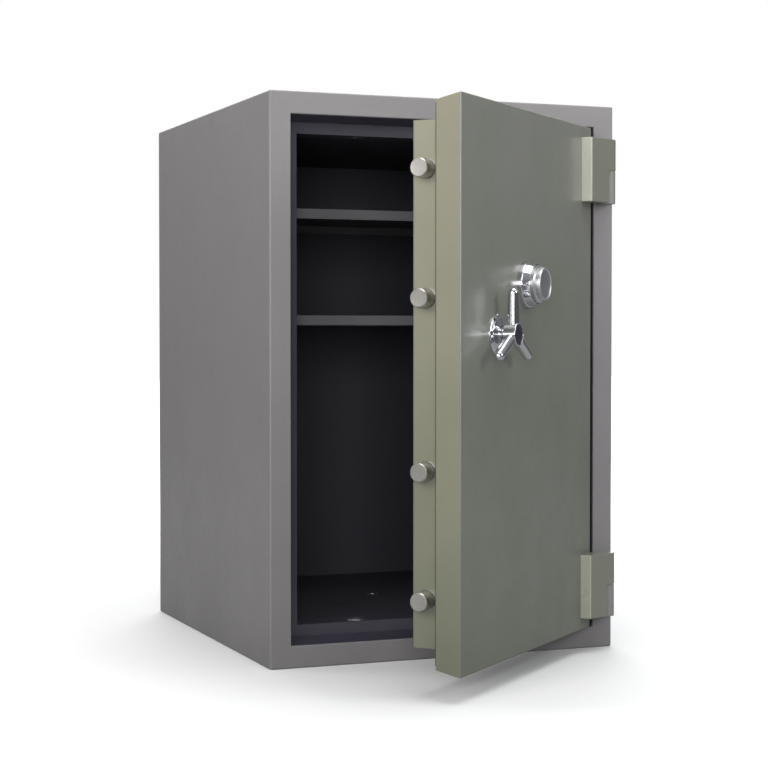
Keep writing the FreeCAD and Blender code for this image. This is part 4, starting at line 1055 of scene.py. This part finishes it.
@dataclass
class DialSet:
    """The dial and the ring round it.

    ring_steps holds insets from the ring's rim with their heights.
    """

    shop: Shop
    ring_r: float = 41.5 * MM
    ring_h: float = 22.0 * MM
    ring_bore: float = 27.0 * MM
    ring_steps: Steps = ((0.0, 7.6 * MM), (0.5 * MM, 8.6 * MM), (1.9 * MM, 9.0 * MM), (2.1 * MM, 9.4 * MM))
    ring_slope: float = 5.6 * MM
    ring_lip: float = 6.2 * MM
    ring_edge: float = 1.0 * MM
    back: float = 22.5 * MM
    skirt_r: float = 33.2 * MM
    skirt_t: float = 5.0 * MM
    knob_r: float = 29.5 * MM
    front: float = 38.5 * MM
    recess_r: float = 26.5 * MM
    recess: float = 2.0 * MM
    recess_edge: float = 0.8 * MM
    recess_wall: float = 2.5 * MM
    middle_r: float = 6.0 * MM
    middle_in: float = 5.2 * MM
    middle_deep: float = 0.25 * MM
    hub_r: float = 12.0 * MM
    hub_low: float = 1.0 * MM
    skirt_edge: float = 0.6 * MM
    root_out: float = 0.2 * MM
    root_low: float = 1.5 * MM
    root_high: float = 1.7 * MM
    front_edge: float = 1.6 * MM
    shoulder: float = 0.9 * MM
    shoulder_down: float = 0.3 * MM
    flute_in: float = 0.12 * MM
    flute_deep: float = 0.35 * MM
    grips: int = 100

    def ring(self) -> Object:
        """The two-band ring with its bore."""
        profile = [(self.ring_bore, 0.0), (self.ring_r, 0.0)]
        profile += [(self.ring_r - inset, height) for inset, height in self.ring_steps]
        profile += [(self.ring_r - self.ring_slope, self.ring_h - self.ring_edge),
                    (self.ring_r - self.ring_lip, self.ring_h), (self.ring_bore, self.ring_h)]
        return eased(turned("dial_bezel", profile, 128, bored=True), 0.25 * MM)

    def knob(self) -> Object:
        """The dial with a fluted grip and a dished front."""
        step = self.back + self.skirt_t
        low, high = step + self.root_high, self.front - self.front_edge
        floor = self.front - self.recess
        profile = [(self.hub_r, self.hub_low), (self.hub_r, self.back), (self.skirt_r, self.back),
                   (self.skirt_r, step - self.skirt_edge), (self.skirt_r - self.skirt_edge, step),
                   (self.knob_r + self.root_out, step + self.root_low), (self.knob_r, low),
                   (self.knob_r, high), (self.knob_r - self.shoulder, self.front - self.shoulder_down),
                   (self.knob_r - self.front_edge, self.front), (self.recess_r, self.front),
                   (self.recess_r - self.recess_edge, self.front - self.recess * 0.6),
                   (self.recess_r - self.recess_wall, floor), (self.middle_r, floor),
                   (self.middle_in, floor - self.middle_deep)]
        piece = turned("dial_knob", profile, 2 * self.grips)
        self.flute(piece, low, high)
        return eased(piece, 0.0)

    def flute(self, piece: Object, low: float, high: float) -> None:
        """Sink every other face of the grip band.

        Args:
            piece: The dial.
            low: The band's lower height.
            high: The band's upper height.
        """
        edit(piece)
        middle = (low + high) / 2

        def on_band(face: bpy.types.MeshPolygon) -> bool:
            """Say whether a face is an even one of the grip band."""
            if abs(face.center.z - middle) > 1.0 * MM or len(face.vertices) != 4:
                return False
            turn = math.atan2(face.center.y, face.center.x) / (2 * math.pi) % 1.0
            return int(turn * 2 * self.grips) % 2 == 0

        choose_faces(piece, on_band)
        bpy.ops.mesh.inset(thickness=self.flute_in, depth=-self.flute_deep, use_individual=True)
        bpy.ops.object.mode_set(mode="OBJECT")

    def build(self) -> None:
        """Make the ring and the dial on the dial's joint."""
        place = self.shop.on_door("dial_turn")
        self.shop.hand_over(placed(self.ring(), place), "dial_ring", self.shop.shared["handle_chrome"])
        finish = SpunDial("dial_face_painted_sheen", (0.68, 0.69, 0.7), (0.52, 0.52, 0.54), (0.02, 0.02, 0.025),
                          self.knob_r + 0.8 * MM, self.skirt_r - 0.5 * MM)
        self.shop.hand_over(placed(self.knob(), place), "dial", finish.material(place))


# ---------------------------------------------------------------- studio

@dataclass
class Studio:
    """Floor, lights and camera."""

    camera_at: tuple[float, float, float] = (-1.4071, -3.5806, 0.6139)
    camera_tilt: float = 88.436
    camera_turn: float = -21.82
    lens: float = 86.7
    sensor: float = 36.0
    floor_half: float = 20.0
    floor_t: float = 0.02
    floor_pale: Colour = (0.88, 0.88, 0.88)
    floor_worn: Colour = (0.83, 0.83, 0.83)
    floor_bounce: Colour = (0.3, 0.3, 0.3)
    near_floor: float = 0.9
    far_floor: float = 2.6
    dome: float = 0.42
    dome_low: float = -0.05
    dome_high: float = 0.9
    room: float = 0.07
    aim: tuple[float, float, float] = (0.0, -0.2, 0.55)
    lamps: tuple[Lamp, ...] = (
        ("key", (-3.6, -3.2, 2.1), 2.0, 88.0, (1.0, 0.985, 0.96)),
        ("side", (-3.6, 1.7, 1.9), 1.6, 34.0, (1.0, 1.0, 1.0)),
        ("fill", (3.0, -3.6, 2.4), 2.2, 62.0, (0.98, 0.99, 1.0)),
        ("front", (-1.9, -4.6, 1.1), 1.2, 82.0, (1.0, 1.0, 1.0)),
        ("top", (0.2, -1.0, 3.6), 2.4, 66.0, (1.0, 1.0, 1.0)),
        ("right", (2.6, 3.9, 1.6), 1.8, 45.0, (1.0, 1.0, 1.0)),
        ("back", (0.5, 3.8, 2.8), 2.6, 90.0, (1.0, 1.0, 1.0)),
    )

    def floor(self) -> None:
        """A wide pale floor with a thickness."""
        put_down()
        bpy.ops.mesh.primitive_plane_add(size=2 * self.floor_half, location=(0, 0, 0))
        floor = bpy.context.object
        floor.name = "floor"
        edit(floor)
        bpy.ops.mesh.select_all(action="SELECT")
        bpy.ops.mesh.extrude_region_move(TRANSFORM_OT_translate={"value": (0, 0, -self.floor_t)})
        face_out(floor)
        mix = Recipe("floor_paint")
        spot = mix.spot()
        tone = mix.noise(spot, 0.8, 3.0)
        far = mix.ramp(mix.off_axis(spot), self.near_floor, self.far_floor)
        pale = mix.blend(tone, self.floor_pale, self.floor_worn)
        seen = mix.node("ShaderNodeLightPath", output="Is Camera Ray")
        dress(floor, mix.finish(Base_Color=mix.blend(seen, self.floor_bounce, pale), Roughness=0.7,
                                Emission_Color=mix.blend(far * seen, (0.0, 0.0, 0.0), (1.0, 1.0, 1.0)),
                                Emission_Strength=1.0, Normal=mix.bump(mix.noise(spot, 90.0, 3.0), 0.0002)))

    def world(self) -> None:
        """A plain white backdrop, with a dimmer room round it for the metal to reflect."""
        world = bpy.data.worlds.new("surround")
        world.use_nodes = True
        bench = Bench(world.node_tree)
        toward = bench.node("ShaderNodeTexCoord", output="Generated")
        height = bench.axes(toward)[2]
        strength = bench.ramp(height, self.dome_low, self.dome_high) * self.dome + self.room
        room = bench.node("ShaderNodeBackground", None,
                          {"Color": (0.95, 0.97, 1.0, 1.0), "Strength": strength})
        white = bench.node("ShaderNodeBackground", None, {"Color": (1.0, 1.0, 1.0, 1.0), "Strength": 1.0})
        seen = bench.node("ShaderNodeLightPath", output="Is Camera Ray")
        both = bench.node("ShaderNodeMixShader", None, {0: seen, 1: room, 2: white})
        bench.tree.links.new(both.socket, bench.tree.nodes["World Output"].inputs["Surface"])
        bpy.context.scene.world = world
        bpy.context.scene.view_settings.view_transform = "Standard"

    def light(self) -> None:
        """Soft square lamps, each aimed at the safe."""
        aim = Vector(self.aim)
        for name, at, size, power, colour in self.lamps:
            data = bpy.data.lights.new(name, "AREA")
            data.shape = "SQUARE"
            data.size = size
            data.energy = power
            data.color = colour
            lamp = bpy.data.objects.new(name, data)
            lamp.location = at
            lamp.rotation_euler = (aim - Vector(at)).to_track_quat("-Z", "Y").to_euler()
            bpy.context.scene.collection.objects.link(lamp)

    def shoot_from(self) -> None:
        """The camera."""
        data = bpy.data.cameras.new("camera")
        data.lens = self.lens
        data.sensor_width = self.sensor
        camera = bpy.data.objects.new("camera", data)
        camera.location = self.camera_at
        camera.rotation_euler = (math.radians(self.camera_tilt), 0.0, math.radians(self.camera_turn))
        bpy.context.scene.collection.objects.link(camera)
        bpy.context.scene.camera = camera

    def build(self) -> None:
        """Set up the studio."""
        self.floor()
        self.world()
        self.light()
        self.shoot_from()


def main() -> None:
    """Build the whole scene."""
    logging.basicConfig(level=logging.INFO, format="%(name)s: %(message)s")
    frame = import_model()
    shop = Shop(frame)
    for part in (Carcass(shop), DoorLeaf(shop), RoundBolts(shop), HandleSet(shop), DialSet(shop), Studio()):
        part.build()
    shop.dress_rest()


if __name__ == "__main__":
    main()
